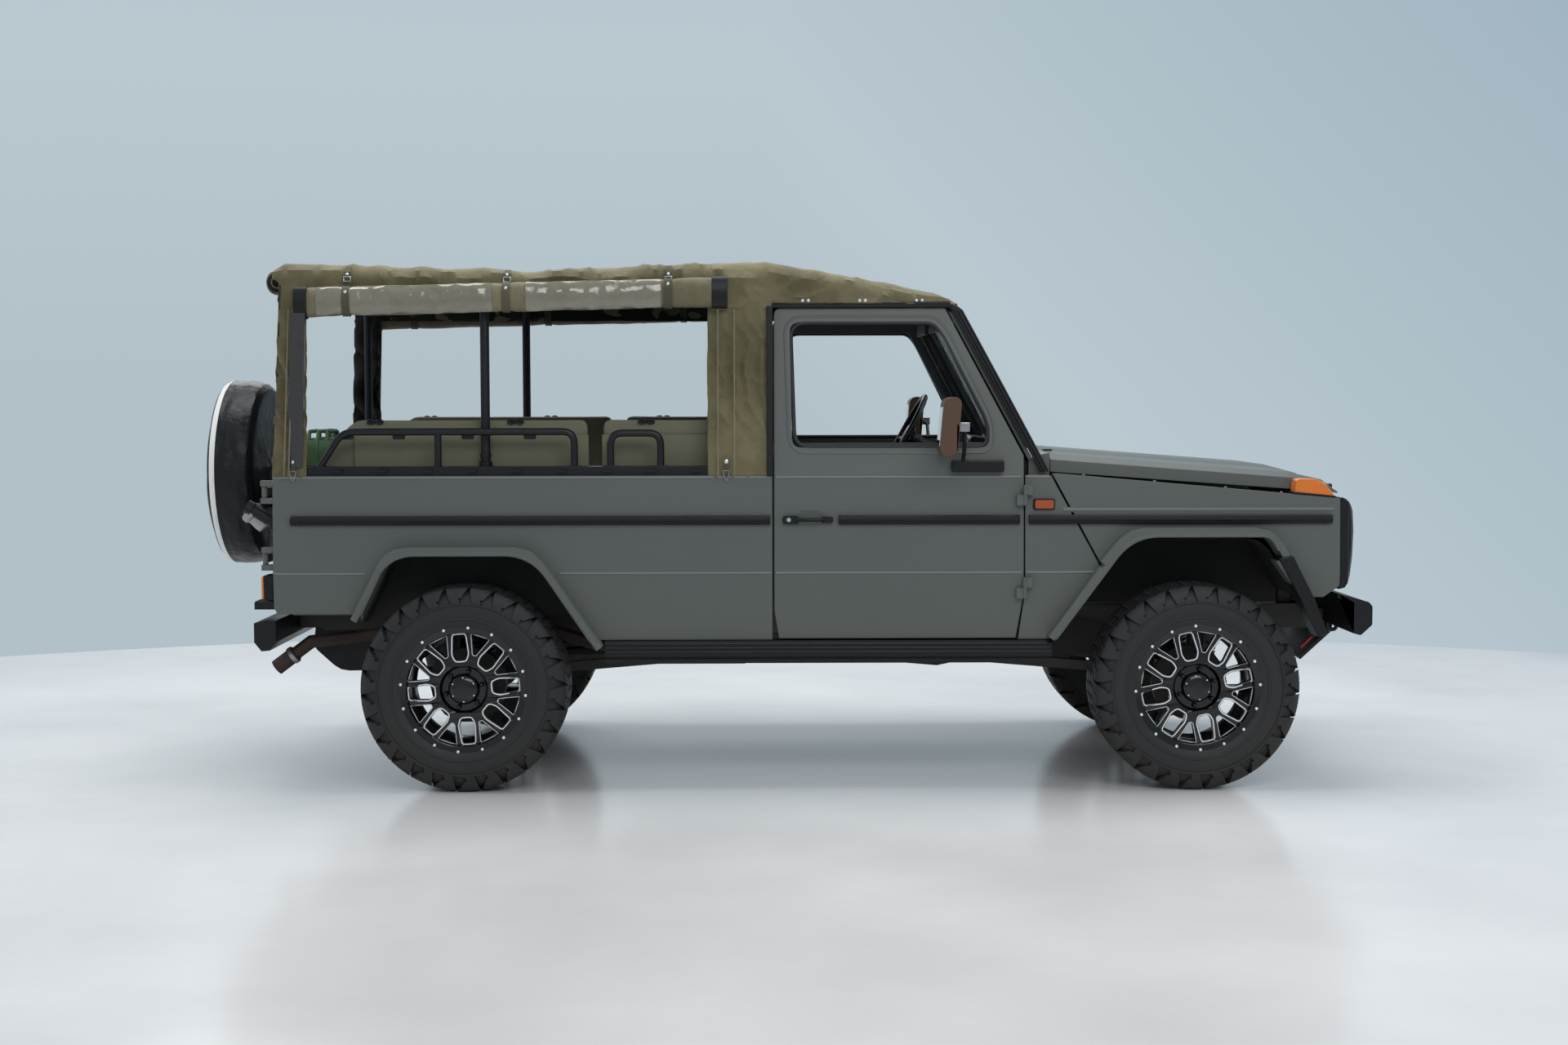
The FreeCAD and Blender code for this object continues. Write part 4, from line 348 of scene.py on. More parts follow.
pane = clear("window_pane", (236, 243, 240), 0.0)
lens = clear("lamp_lens", (240, 243, 245), 0.03)

# %% [markdown]
# ## Canvas
# Tarpaulin is a plain weave that is waxed or coated. Two crossed waves at thread spacing give the
# relief, and large soft patches with paler rubbed areas give the faded colour. The pattern reads the
# object's own coordinates, so it keeps its scale on every piece.

# %% Woven canvas
def canvas(name, colour, pale, rough=0.78):
    material, tree, where = new_material(name)
    warp, weft = [(new_node(tree, "ShaderNodeTexWave", {"Vector": where, "Scale": 260.0, "Distortion": 0.6},
                            bands_direction=way), "Fac") for way in "XZ"]
    fade = noise_node(tree, where, 3.0, 7.0, Roughness=0.65)
    crumple = noise_node(tree, where, 11.0, 4.0, Distortion=1.2)
    spread = new_node(tree, "ShaderNodeMapRange", {
        "Value": (fade, "Fac"), "From Min": 0.38, "From Max": 0.68})
    creases = bump_node(tree, 0.75, 0.012, (crumple, "Fac"))
    threads = bump_node(tree, 0.35, 0.0006, (math_node(tree, "ADD", warp, weft), "Value"),
                        Normal=(creases, "Normal"))
    surface = new_node(tree, "ShaderNodeBsdfPrincipled", {
        "Roughness": rough, "Sheen Weight": 0.15, "Specular IOR Level": 0.35, "Normal": (threads, "Normal"),
        "Base Color": mixed(tree, (spread, "Result"), rgb(*colour), rgb(*pale))})
    finished(tree, (surface, "BSDF"))
    return material


roof_canvas = canvas("roof_canvas", (90, 84, 60), (118, 112, 83))
roll_canvas = canvas("roll_canvas", (92, 87, 65), (120, 114, 89), 0.5)
strap_web = canvas("strap_web", (70, 68, 50), (84, 82, 62))
piping = canvas("piping", (112, 106, 84), (128, 122, 100))

# %% [markdown]
# ## Paint the rigid parts
# A node whose shape is right stays as it is, and its material slot gets the new finish. Nodes that are
# replaced further on are painted too, so that nothing stays grey.

# %% Assign finishes to the nodes
WHEEL_NAMES = [f"{end}_{side_name}" for end in ("front", "rear") for side_name, side in SIDES]
painted = {
    body_paint: ["side_panel_right", "side_panel_left", "cowl_and_bulkhead", "windscreen_frame",
                 "fender_right", "fender_left", "bonnet", "door_right", "door_left", "tail_door",
                 "floor_tub"],
    black_trim: ["sill_boards", "grille_mask", "front_bumper", "rear_bumper", "fuel_tank_and_filler",
                 "dashboard"],
    # The skid plate is satin black all over, painted shade and the dark parts behind it, over its red upper
    # face; the skid_edge tube gives its red edge.
    satin_black: ["bed_rails", "spare_bracket", "can_stand", "steering_wheel", "skid_plate"],
    hoop_paint: ["canopy_frame"],
    seat_cloth: ["bench_frames", "bench_cushions"],
    chassis_paint: ["ladder_frame", "suspension", "front_axle", "rear_axle", "tie_rod"],
    cast_metal: ["engine_and_driveline", "knuckle_right", "knuckle_left"],
    rust: ["exhaust"],
    rubber: ["load_mat"],
    pane: ["windscreen_glass"],
    can_green: ["jerry_can"],
    mirror_shell: ["mirror_right", "mirror_left"],
    front_cloth: ["front_seats"],
    lens: ["lamps"],
    tyre_rubber: [f"tyre_{name}" for name in WHEEL_NAMES],
    rim_black: [f"rim_{name}" for name in WHEEL_NAMES],
    cover_black: ["spare_wheel_cover"],
    roof_canvas: ["canopy"],
    roll_canvas: ["curtain_rolls"],
}
for material, names in painted.items():
    for name in names:
        nodes[name].data.materials.clear()
        nodes[name].data.materials.append(material)

# %% [markdown]
# ## Looks
# Each new piece has a finish and a body that it moves with; each look also carries the name of what it is
# made of. The combinations that come back most are named once here.

# %% Finish, body and slot
TRIM = (black_trim, "chassis", "black_plastic")
SATIN = (satin_black, "chassis", "black_plastic")
SEAL = (rubber, "chassis", "black_plastic")
STEEL = (satin_black, "chassis", "black_steel")
TUBE = (hoop_paint, "chassis", "hoop_steel")
HOOP_FITTING = (satin_black, "chassis", "hoop_steel")
BRIGHT = (bright_bolt, "chassis", "black_steel")
GREY = (grey_steel, "chassis", "black_steel")
PAINT = (body_paint, "chassis", "body_paint")
SHADE_LINING = (arch_painted_shade, "chassis", "chassis_black")
ROLL = (roll_canvas, "chassis", "canvas")
WEB = (strap_web, "chassis", "canvas")
CAN = (can_green, "chassis", "can_green")
CAST = (cast_metal, "chassis", "cast_parts")


def on(body, look):
    """The same look on another body."""
    return look[0], body, look[2]


# %% [markdown]
# ## Helpers for small pieces
# Each helper makes a mesh whose place is in its vertices, gives it a finish and sets it on the body it
# moves with. Nearly all of them are rings of points with a skin over them.

# %% Settle and skin
def settle(name, mesh, material, body, slot_name, bevel=0.0):
    obj = bpy.data.objects.new(name, mesh)
    scene.collection.objects.link(obj)
    mesh.materials.clear()
    mesh.materials.append(material)
    if bevel:
        edge = obj.modifiers.new("edge", "BEVEL")
        edge.width = bevel
        edge.segments = 2
        edge.limit_method = "ANGLE"
        edge.angle_limit = math.radians(40)
    for polygon in mesh.polygons:
        polygon.use_smooth = True
    mesh.set_sharp_from_angle(angle=math.radians(38))
    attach(obj, body)
    return obj


def from_bmesh(name, bm):
    bmesh.ops.remove_doubles(bm, verts=bm.verts, dist=1e-6)
    bmesh.ops.recalc_face_normals(bm, faces=bm.faces)
    mesh = bpy.data.meshes.new(name)
    bm.to_mesh(mesh)
    bm.free()
    return mesh


def skin(name, rings, loop=False, caps=False, around=True, cut=False):
    """A mesh over rings of points. A loop joins the last ring to the first, caps close both ends,
    cut splits the caps into triangles, and rings that don't go around are open lines."""
    bm = bmesh.new()
    rings = [[bm.verts.new(p) for p in ring] for ring in rings]
    if caps:
        bm.faces.new(rings[0])
        bm.faces.new(list(reversed(rings[-1])))
    for a, b in zip(rings, rings[1:] + (rings[:1] if loop else [])):
        for k in range(len(a) if around else len(a) - 1):
            j = (k + 1) % len(a)
            bm.faces.new([a[k], b[k], b[j], a[j]])
    if cut:
        bmesh.ops.triangulate(bm, faces=[f for f in bm.faces if len(f.verts) > 4])
    return from_bmesh(name, bm)


def evaluated_mesh(obj):
    """The mesh that an object's curve or modifiers make; the object itself is removed."""
    mesh = bpy.data.meshes.new_from_object(obj.evaluated_get(bpy.context.evaluated_depsgraph_get()))
    bpy.data.objects.remove(obj)
    return mesh


def arc(a, corner, b, steps):
    shares = [k / steps for k in range(steps + 1)]
    return [a * (1 - t) ** 2 + corner * 2 * t * (1 - t) + b * t ** 2 for t in shares]


def soften(points, radius, steps=5):
    """Corners of a closed outline turned into arcs."""
    line = [Vector(p) for p in points]
    result = []
    for i, p in enumerate(line):
        before, after = line[i - 1] - p, line[(i + 1) % len(line)] - p
        reach = min(radius, before.length * 0.49, after.length * 0.49)
        result += arc(p + before.normalized() * reach, p, p + after.normalized() * reach, steps)
    return result


def bent(points, radius, steps=6):
    """An open line whose inner corners are arcs."""
    line = [Vector(p) for p in points]
    result = [line[0]]
    for before, p, after in zip(line, line[1:], line[2:]):
        before, after = before - p, after - p
        reach = min(radius, before.length * 0.48, after.length * 0.48)
        result += arc(p + before.normalized() * reach, p, p + after.normalized() * reach, steps)
    return result + [line[-1]]


# %% Slabs, plates and bricks
PLACES = {"side": lambda p, level: at(p[0], level, p[1]), "cross": lambda p, level: at(level, p[0], p[1]),
          "plan": lambda p, level: at(p[0], p[1], level)}


def slab(name, plane, points, start, depth, material, body, slot_name, radius=0.0, bevel=0.0):
    """An outline pushed out: side (x, z) towards +y, cross (y, z) towards +x, plan (x, y) upwards."""
    outline = soften(points, radius) if radius else points
    rings = [[PLACES[plane](p, level) for p in outline] for level in (start, start + depth)]
    return settle(name, skin(name, rings, caps=True, cut=True), material, body, slot_name, bevel)


def plate(name, side, points, inner, outer, *look, **shaping):
    """A side slab between two distances from the car's middle plane, on one side of the car."""
    return slab(name, "side", points, min(side * inner, side * outer), outer - inner, *look, **shaping)


def brick(name, low, high, *look, bevel=1.5):
    (x0, y0, z0), (x1, y1, z1) = low, high
    start, stop = min(y0, y1), max(y0, y1)
    return slab(name, "side", [(x0, z0), (x1, z0), (x1, z1), (x0, z1)], start, stop - start, *look,
                bevel=bevel / 1000)


# %% Pipes and turned pieces
def pipe(name, points, radius, material, body, slot_name, closed=False, smooth_line=False, sides=4):
    """A round bar along points in millimetres."""
    curve = bpy.data.curves.new(name, "CURVE")
    curve.dimensions = "3D"
    curve.bevel_depth = radius / 1000
    curve.bevel_resolution = sides
    curve.use_fill_caps = not closed
    spline = curve.splines.new("NURBS" if smooth_line else "POLY")
    spline.points.add(len(points) - 1)
    for point, place in zip(spline.points, points):
        point.co = tuple(at(*place)) + (1,)
    spline.use_cyclic_u = closed
    if smooth_line:
        spline.order_u = 3
        spline.use_endpoint_u = not closed
    source = bpy.data.objects.new(name, curve)
    scene.collection.objects.link(source)
    mesh = evaluated_mesh(source)
    mesh.name = name
    return settle(name, mesh, material, body, slot_name)


def turned(name, profile, centre, axis, steps, material, body, slot_name):
    """A closed profile of (distance along the axis, radius) turned round an axis through centre."""
    axis = Vector(axis).normalized()
    side = axis.orthogonal().normalized()
    other = axis.cross(side)
    spokes = [side * math.cos(TAU * k / steps) + other * math.sin(TAU * k / steps) for k in range(steps)]
    rings = [[centre + axis * along / 1000 + spoke * radius / 1000 for spoke in spokes]
             for along, radius in profile]
    return settle(name, skin(name, rings, loop=True), material, body, slot_name)


# %% [markdown]
# ## Pairs
# Most small pieces come twice, once on each side. A pair maker takes the measures of the left piece,
# mirrors them for the right one, adds the side to the name, and puts the body "door" on its own side.

# %% Makers for both sides
def both_sides(make):
    def pair(name, *given, **options):
        pieces = []
        for side_name, side in SIDES:
            settled = [f"door_{side_name}" if item == "door" else item for item in given]
            pieces.append(make(f"{name}_{side_name}", side, *settled, **options))
        return pieces
    return pair


def mirrored(place, side):
    x, y, z = place
    return x, side * y, z


plates = both_sides(plate)


@both_sides
def pipes(name, side, points, *rest, **options):
    return pipe(name, [mirrored(p, side) for p in points], *rest, **options)


@both_sides
def bricks(name, side, low, high, *rest, **options):
    return brick(name, mirrored(low, side), mirrored(high, side), *rest, **options)


@both_sides
def crosses(name, side, points, *rest, **options):
    return slab(name, "cross", [(side * y, z) for y, z in points], *rest, **options)


@both_sides
def heads(name, side, profile, centre, axis, *rest):
    return turned(name, profile, at(*mirrored(centre, side)), mirrored(axis, side), *rest)


# %% [markdown]
# ## Repeats with Geometry Nodes
# Lugs, bolts, rivets and staples repeat one small piece many times. One tree turns a piece in equal
# steps round the Y axis, and another sets a piece in a row. Both realise their instances, so that the
# result is a plain mesh.

# %% Two trees for repeats
def repeat_tree(name, turning):
    group = bpy.data.node_groups.new(name, "GeometryNodeTree")
    measure = "Float" if turning else "Vector"
    for socket, kind in (("Piece", "Object"), ("Count", "Int"), ("Start", measure), ("Step", measure),
                         ("Finish", "Material")):
        group.interface.new_socket(socket, in_out="INPUT", socket_type="NodeSocket" + kind)
    group.interface.new_socket("Geometry", in_out="OUTPUT", socket_type="NodeSocketGeometry")
    given = new_node(group, "NodeGroupInput")
    start, step = (given, "Start"), (given, "Step")
    piece = new_node(group, "GeometryNodeObjectInfo", {"Object": (given, "Piece")})
    line = new_node(group, "GeometryNodeMeshLine", {"Count": (given, "Count")})
    copies = new_node(group, "GeometryNodeInstanceOnPoints", {
        "Points": (line, "Mesh"), "Instance": (piece, "Geometry")})
    if turning:
        line.inputs["Offset"].default_value = (0, 0, 0)
        scaled = new_node(group, "ShaderNodeMath", {0: (new_node(group, "GeometryNodeInputIndex"), "Index"),
                                                    1: step, 2: start}, operation="MULTIPLY_ADD")
        turn = new_node(group, "ShaderNodeCombineXYZ", {"Y": (scaled, "Value")})
        group.links.new(turn.outputs["Vector"], copies.inputs["Rotation"])
    else:
        group.links.new(given.outputs["Start"], line.inputs["Start Location"])
        group.links.new(given.outputs["Step"], line.inputs["Offset"])
    solid = new_node(group, "GeometryNodeRealizeInstances", {"Geometry": (copies, "Instances")})
    colour = new_node(group, "GeometryNodeSetMaterial", {"Geometry": (solid, "Geometry"),
                                                         "Material": (given, "Finish")})
    new_node(group, "NodeGroupOutput", {"Geometry": (colour, "Geometry")})
    return group


ring_tree = repeat_tree("around_axle", True)
row_tree = repeat_tree("in_a_row", False)


def repeated(group, piece_mesh, count, start, step, material):
    """The mesh of count copies of piece_mesh, with a finish set on each."""
    piece = bpy.data.objects.new("piece", piece_mesh)
    carrier = bpy.data.objects.new("carrier", bpy.data.meshes.new("carrier"))
    for obj in (piece, carrier):
        scene.collection.objects.link(obj)
    modifier = carrier.modifiers.new("repeat", "NODES")
    modifier.node_group = group
    values = {"Piece": piece, "Count": count, "Start": start, "Step": step, "Finish": material}
    for item in group.interface.items_tree:
        if item.in_out == "INPUT":
            modifier[item.identifier] = values[item.name]
    bpy.context.view_layer.update()
    mesh = evaluated_mesh(carrier)
    bpy.data.objects.remove(piece)
    return mesh


# %% Parts that are joined or turned round the axle
def joined(name, meshes, *look):
    bm = bmesh.new()
    for mesh in meshes:
        bm.from_mesh(mesh)
    mesh = bpy.data.meshes.new(name)
    bm.to_mesh(mesh)
    bm.free()
    return settle(name, mesh, *look)


def around(y, r, angle):
    """A point at a radius from the wheel's axle, in millimetres."""
    return r * math.sin(angle) / 1000, y / 1000, r * math.cos(angle) / 1000


def turned_mesh(profile, steps):
    """A closed profile of (y, r) turned round the Y axis."""
    return skin("turned", [[around(y, r, TAU * k / steps) for k in range(steps)] for y, r in profile],
                loop=True)


def profile_block(section, half_angle, outer_half_angle, skew, twist=0.0):
    """A lug: a section of (y, r) swept a small way round the Y axis, at the top of the wheel."""
    low = min(r for y, r in section)
    high = max(r for y, r in section)
    rings = []
    for sign in (-1, 1):
        shares = [(y, r, (r - low) / (high - low)) for y, r in section]
        rings.append([around(y, r, sign * (half_angle * (1 - t) + outer_half_angle * t) + skew * (y / 100)
                             + twist * (1 - t)) for y, r, t in shares])
    return skin("lug", rings, caps=True)


def flipped(section):
    return [(-y, r) for y, r in section]


# %% [markdown]
# ## Tyres
# A mud tyre is a carcass with tall blocks: two rows of shoulder lugs that wrap over onto the sidewall,
# alternately long and short, and two rows of centre blocks. The carcass is a turned profile; the blocks
# are repeats of a few small shapes.

# %% Carcass and lugs
LUGS = 26
LUG_STEP = TAU / LUGS
LUG_SKEW = 0.07
carcass_side = [(-112, 232), (-124, 246), (-132, 262), (-137, 290), (-137.5, 314), (-133, 332), (-124, 358),
                (-112, 376), (-98, 383)]
carcass_profile = carcass_side + [(0, 386)] + flipped(carcass_side[::-1]) + [(96, 226), (-96, 226)]
sidewall_rings = [
    [(-136.2, 271), (-139.0, 274), (-139.0, 279), (-136.6, 282)],
    [(-136.6, 330), (-138.4, 333), (-137.8, 337), (-135.0, 339)],
]
lug_long = [(-60, 378), (-60, 401), (-104, 400), (-118, 395), (-135, 370), (-139.5, 338), (-132, 334),
            (-116, 362), (-100, 378)]
lug_short = [(-68, 378), (-68, 401), (-104, 400), (-118, 395), (-133, 374), (-137, 358), (-122, 354),
             (-108, 374)]
centre_block = [(-52, 380), (-52, 401), (-8, 401), (-8, 380)]


def lug_row(section, half, top, skew, twist, start):
    lug = profile_block(section, half, top, skew, twist)
    return repeated(ring_tree, lug, LUGS, start * LUG_STEP, LUG_STEP, tyre_rubber)


tyre_parts = [turned_mesh(carcass_profile, 96)]
for profile in sidewall_rings:
    tyre_parts += [turned_mesh(profile, 96), turned_mesh(flipped(profile), 96)]
for section, half, top, start, twist in ((lug_long, 0.050, 0.053, 0.0, 0.06),
                                         (lug_short, 0.046, 0.050, 0.5, -0.05)):
    tyre_parts += [lug_row(section, half, top, LUG_SKEW, twist, start),
                   lug_row(flipped(section), half, top, LUG_SKEW, -twist, start + 0.25)]
for section, start in ((centre_block, 0.12), (flipped(centre_block), 0.37)):
    for half_step in (0.0, 0.5):
        tyre_parts.append(lug_row(section, 0.047, 0.044, 0.10, 0.0, half_step + start))

# %% [markdown]
# ## Wheels
# The wheel is cast in one piece: a barrel with flanges, and a dished disc with eight long windows and
# eight triangular ones between them. Its window edges are milled bright, and sixteen bright bolts sit
# round the flange. The disc is filled from flat outlines with holes, then dished by its radius.

# %% Dished disc with windows
WINDOWS = 8
DISC_THICK = 30
dish_line = [(0, 90), (84, 90), (92, 108), (104, 111), (135, 110), (205, 101), (240, 101)]


def between(line, x):
    """The value of a line of (x, value) points at x."""
    for (x0, v0), (x1, v1) in zip(line, line[1:]):
        if x <= x1:
            return v0 + (v1 - v0) * max(0.0, (x - x0) / (x1 - x0))
    return line[-1][1]


def window_outlines(outline, radius, offset):
    """The same window at every eighth of a turn."""
    shape = soften(outline, radius)
    return [[Matrix.Rotation(TAU * k / WINDOWS + math.radians(3) + offset, 2) @ p for p in shape]
            for k in range(WINDOWS)]


def dished(p, back=0.0):
    """A flat point of the disc in its place, back millimetres behind the dished face."""
    return p.x / 1000, -(between(dish_line, p.length) - back) / 1000, p.y / 1000


def disc_mesh(loops):
    curve = bpy.data.curves.new("disc", "CURVE")
    curve.dimensions = "2D"
    curve.fill_mode = "BOTH"
    for radius, count in ((90, 48), (221, 96)):
        loops = [[Vector((radius * math.sin(TAU * k / count), radius * math.cos(TAU * k / count)))
                  for k in range(count)]] + loops
    for loop in loops:
        spline = curve.splines.new("POLY")
        spline.points.add(len(loop) - 1)
        for point, p in zip(spline.points, loop):
            point.co = (p.x, p.y, 0, 1)
        spline.use_cyclic_u = True
    source = bpy.data.objects.new("disc", curve)
    scene.collection.objects.link(source)
    bm = bmesh.new()
    bm.from_mesh(evaluated_mesh(source))
    bmesh.ops.remove_doubles(bm, verts=bm.verts, dist=0.01)
    extruded = bmesh.ops.extrude_face_region(bm, geom=list(bm.faces))
    back = {v for v in extruded["geom"] if isinstance(v, bmesh.types.BMVert)}
    for v in bm.verts:
        v.co = dished(v.co.xy, DISC_THICK if v in back else 0)
    return from_bmesh("disc", bm)


def edge_strip(loops, width, lift, drop):
    """A bright chamfer round each window, on the disc's face."""
    bm = bmesh.new()
    for loop in loops:
        centre = sum(loop, Vector((0, 0))) / len(loop)
        outwards = []
        for i, p in enumerate(loop):
            tangent = (loop[(i + 1) % len(loop)] - loop[i - 1]).normalized()
            normal = Vector((tangent.y, -tangent.x))
            outwards.append(-normal if normal.dot(p - centre) < 0 else normal)
        bm.from_mesh(skin("edge", [[dished(p + normal * spread, sink) for p, normal in zip(loop, outwards)]
                                   for spread, sink in ((-0.2, drop), (width * 0.35, -lift), (width, -lift),
                                                        (width, 1.0), (-0.2, drop + 2))], loop=True))
    return from_bmesh("edges", bm)


# %% Wheel parts
barrel = turned_mesh([
    (-118, 252), (-124, 250), (-124, 244), (-121.5, 240), (-121.5, 232), (-117, 222), (-106, 218), (-96, 217),
    (-60, 212), (40, 206), (100, 214), (122, 232), (124, 248), (118, 252), (112, 240), (108, 229), (80, 228),
    (50, 216), (-60, 222), (-84, 228), (-108, 229), (-112, 240)], 96)
recess = turned_mesh([(-92, 0.5), (-92, 84), (-108, 92), (-100, 96), (-70, 92), (-70, 0.5)], 64)
cap = turned_mesh([(-90, 62), (-108, 58), (-116, 50), (-122, 36), (-123, 20), (-123, 0.5), (-80, 0.5),
                   (-80, 62)], 48)


def wheel_bolts(profile, steps, radius, count, start, material):
    """A ring of small turned heads round the axle, at a radius in metres."""
    head = turned_mesh(profile, steps)
    head.transform(Matrix.Translation((0, 0, radius)))
    return repeated(ring_tree, head, count, start, TAU / count, material)


pills = window_outlines([(-23, 212), (23, 212), (29, 138), (19, 113), (-19, 113), (-29, 138)], 9, 0)
gaps = window_outlines([(-36, 214), (36, 214), (6, 140), (-6, 140)], 5, TAU / 16)
nuts = wheel_bolts([(-88, 0.3), (-112, 0.3), (-113, 6), (-108, 10), (-88, 11)], 6, 0.0715, 6, 0.3, rim_black)
bolts = wheel_bolts([(-120, 0.3), (-127.5, 0.3), (-127.5, 3.2), (-126, 5.6), (-120, 6.2)], 10, 0.2425, 16,
                    0.12, bright_bolt)
cap_screws = wheel_bolts([(-112, 0.3), (-118.5, 0.3), (-118.5, 2.6), (-117, 3.8), (-112, 4)], 8, 0.046, 6,
                         0.0, bright_bolt)
wheel_parts = {
    "tread": (tyre_parts, tyre_rubber, "tyre", "tyre"),
    "rim_casting": ([barrel, recess, cap, disc_mesh(pills + gaps), nuts], rim_black, "rim", "rim"),
    "rim_bright": ([edge_strip(pills, 6.0, 0.8, 2.5), edge_strip(gaps, 2.6, 0.5, 1.5), bolts, cap_screws],
                   milled, "rim", None),
}
for end, x, turned_by in (("front", FRONT_AXLE, -0.17), ("rear", REAR_AXLE, -0.03)):
    for side_name, side in SIDES:
        outwards = Matrix.Rotation(0 if side < 0 else math.pi, 4, "Z")
        place = Matrix.Translation((x, side * TRACK, HUB)) @ outwards @ Matrix.Rotation(turned_by, 4, "Y")
        for label, (parts, material, slot_name, replaced) in wheel_parts.items():
            obj = joined(f"{label}_{end}_{side_name}", parts, material, f"wheel_{end}_{side_name}", slot_name)
            obj.data.transform(place)
            if replaced:
                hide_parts(f"{replaced}_{end}_{side_name}")
print("wheel faces:", {label: sum(len(m.polygons) for m in entry[0]) for label, entry in wheel_parts.items()})

# %% [markdown]
# ## Canvas roof
# The roof is one tarpaulin: it lies over the hoops, sags between them, falls down the sides behind the
# rolled-up windows, and covers the rear corners and the strip behind the doors down to the rail. A
# single grid follows that, column by column along the car, and the side openings are left out of it.

# %% The roof's form
ROOF_REAR, ROOF_FRONT, CAB_START = -740.0, 1925.0, 1184
OPEN_REAR, OPEN_FRONT, DOOR_POST = -608, 948, 1198
top_line = [(-740, 2038), (-704, 2058), (-560, 2056), (-300, 2046), (-60, 2040), (76, 2044), (227, 2029),
            (420, 2038), (700, 2050), (960, 2060), (1105, 2063), (1184, 2062), (1400, 2026), (1640, 1981),
            (1858, 1938), (1916, 1908), (1925, 1886)]
half_line = [(-740, 735), (1184, 734), (1858, 716), (1925, 704)]


def roof_point(x, v):
    """v runs from 0 at the ridge to 1 at the eaves, 2 under the rolled windows and 3 at the rail."""
    top = between(top_line, x)
    half = between(half_line, x)
    eave = min(1985.0, top - 52) if x < CAB_START else max(1897.0, top - 52 - (x - CAB_START) * 0.03)
    eave = max(eave, 1890) if x < 1900 else min(eave, 1886)
    if v <= 1:
        fall = 0 if v < 0.88 else ((v - 0.88) / 0.12) ** 2
        return half * min(1, v * 1.02), top + 4 - 10 * v * v - (top - 14 - eave) * fall
    low = 1880.0 if x < DOOR_POST else 1896.0
    if x > 1880:
        low = 1896 - (x - 1880) * 0.30
    if v <= 2:
        return half + 8 * (v - 1), eave + (min(low, eave) - eave) * (v - 1)
    return half + 8 + (785 - half - 8) * (v - 2), low + (1220 - low) * (v - 2)


def drift(*place):
    return noise.noise(Vector(place))


def ridge(value):
    """Noise turned into narrow raised creases."""
    return (1 - min(1.0, abs(value) * 3.2)) ** 2


def roof_vertex(x, side, v):
    """A point of the cloth: the roof's form with its sag, folds and creases."""
    y, z = roof_point(x, v)
    p = at(x, side * y, z)
    hoop = min(abs(x + 650), abs(x - 75), abs(x - 1105)) / 300
    slack = min(1.0, hoop) * (1.0 if x < CAB_START else 0.45)
    crease = drift(x / 210, side * y / 260, z / 160 + side * 7)
    fine = drift(x / 60, side * y / 120, z / 60 + side * 3)
    pulled = ridge(drift((x + z * 0.8) / 150, side * y / 300, (z - x * 0.2) / 90 + side))
    if v <= 1:
        p.z += (crease * 0.011 + fine * 0.004 + pulled * 0.010 - 0.012 * (1 - (y / 735) ** 2)) * slack
        p.y += side * (fine * 0.004 + pulled * 0.009 + crease * 0.006) * (v > 0.88)
    elif v <= 2:
        p.y += side * (crease * 0.008 + fine * 0.005 + pulled * 0.012 - 0.004)
    else:
        t = v - 2
        hang = math.sin(min(1, t * 1.2) * math.pi) if t < 0.83 else 0.3
        fold = 1 - 2 * abs(math.sin((x + z * 0.16) / 19.0 + crease * 4.2)) ** 0.7
        cross = ridge(drift((x - z * 0.7) / 130, side * 3.0, (z + x * 0.6) / 120))
        p.y += side * (0.014 * fold + crease * 0.016 + 0.012 * cross - 0.006) * max(0.3, hang)
    if x < -704 and v > 1.0:
        lean = between([(1220, -742), (2016, -704)], z) - x
        p.x += max(-0.02, min(0.036, lean / 1000)) * max(0.0, (-704 - x) / 36)
    return p


# %% Roof sheet
fixed = (OPEN_REAR, OPEN_FRONT, DOOR_POST)
columns = sorted({ROOF_REAR + 8 * k for k in range(334)} | set(fixed) | {ROOF_FRONT})
columns = [c for i, c in enumerate(columns) if i == 0 or c - columns[i - 1] > 2.5 or c in fixed]
rows = [k / 26 for k in range(27)]
rows += [1 + (k + 1) / 8 for k in range(8)]
rows += [2 + (k + 1) / 56 for k in range(56)]
bm = bmesh.new()
grid = {(i, side, j): bm.verts.new(roof_vertex(x, side, v)) for i, x in enumerate(columns) for side in (-1, 1)
        for j, v in enumerate(rows) if side < 0 or j}
for i in range(len(columns)):
    grid[(i, 1, 0)] = grid[(i, -1, 0)]
for i in range(len(columns) - 1):
    middle = (columns[i] + columns[i + 1]) / 2
    opening = OPEN_REAR < middle < OPEN_FRONT or middle > DOOR_POST
    for side in (-1, 1):
        for j in range(len(rows) - 1):
            if opening and rows[j] + rows[j + 1] > 4:
                continue
            loop = [grid[(i + di, side, j + dj)] for di, dj in ((0, 0), (1, 0), (1, 1), (0, 1))]
            bm.faces.new(loop if side < 0 else list(reversed(loop)))
roof_mesh = bpy.data.meshes.new("roof_sheet")
bmesh.ops.recalc_face_normals(bm, faces=bm.faces)
roof_area = sum(f.calc_area() for f in bm.faces)
bm.to_mesh(roof_mesh)
bm.free()
roof = settle("roof_sheet", roof_mesh, roof_canvas, "chassis", "canvas")
# The sheet's inner side takes the near-black canvas: painted shade under the roof.
cloth = roof.modifiers.new("cloth", "SOLIDIFY")
cloth.thickness = 0.004
cloth.offset = -1
cloth.material_offset = 1
roof_mesh.materials.append(canvas_painted_shade)
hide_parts("canopy")
print("roof canvas", round(roof_area, 2), "square metres", len(roof_mesh.polygons), "faces")

# %% [markdown]
# ## Rolled side windows
# Each side window is canvas with clear film panes. Rolled up, it hangs under the eaves as a flattened
# tube, with film on the outside of two stretches, held by three straps with buckles, and it ends in
# dark cuffs.

# %% Rolls and film
STRAPS = (-446, 172, 797)
ROLL_START, ROLL_LENGTH, ROLL_CORNERS = -617, 1595, 28


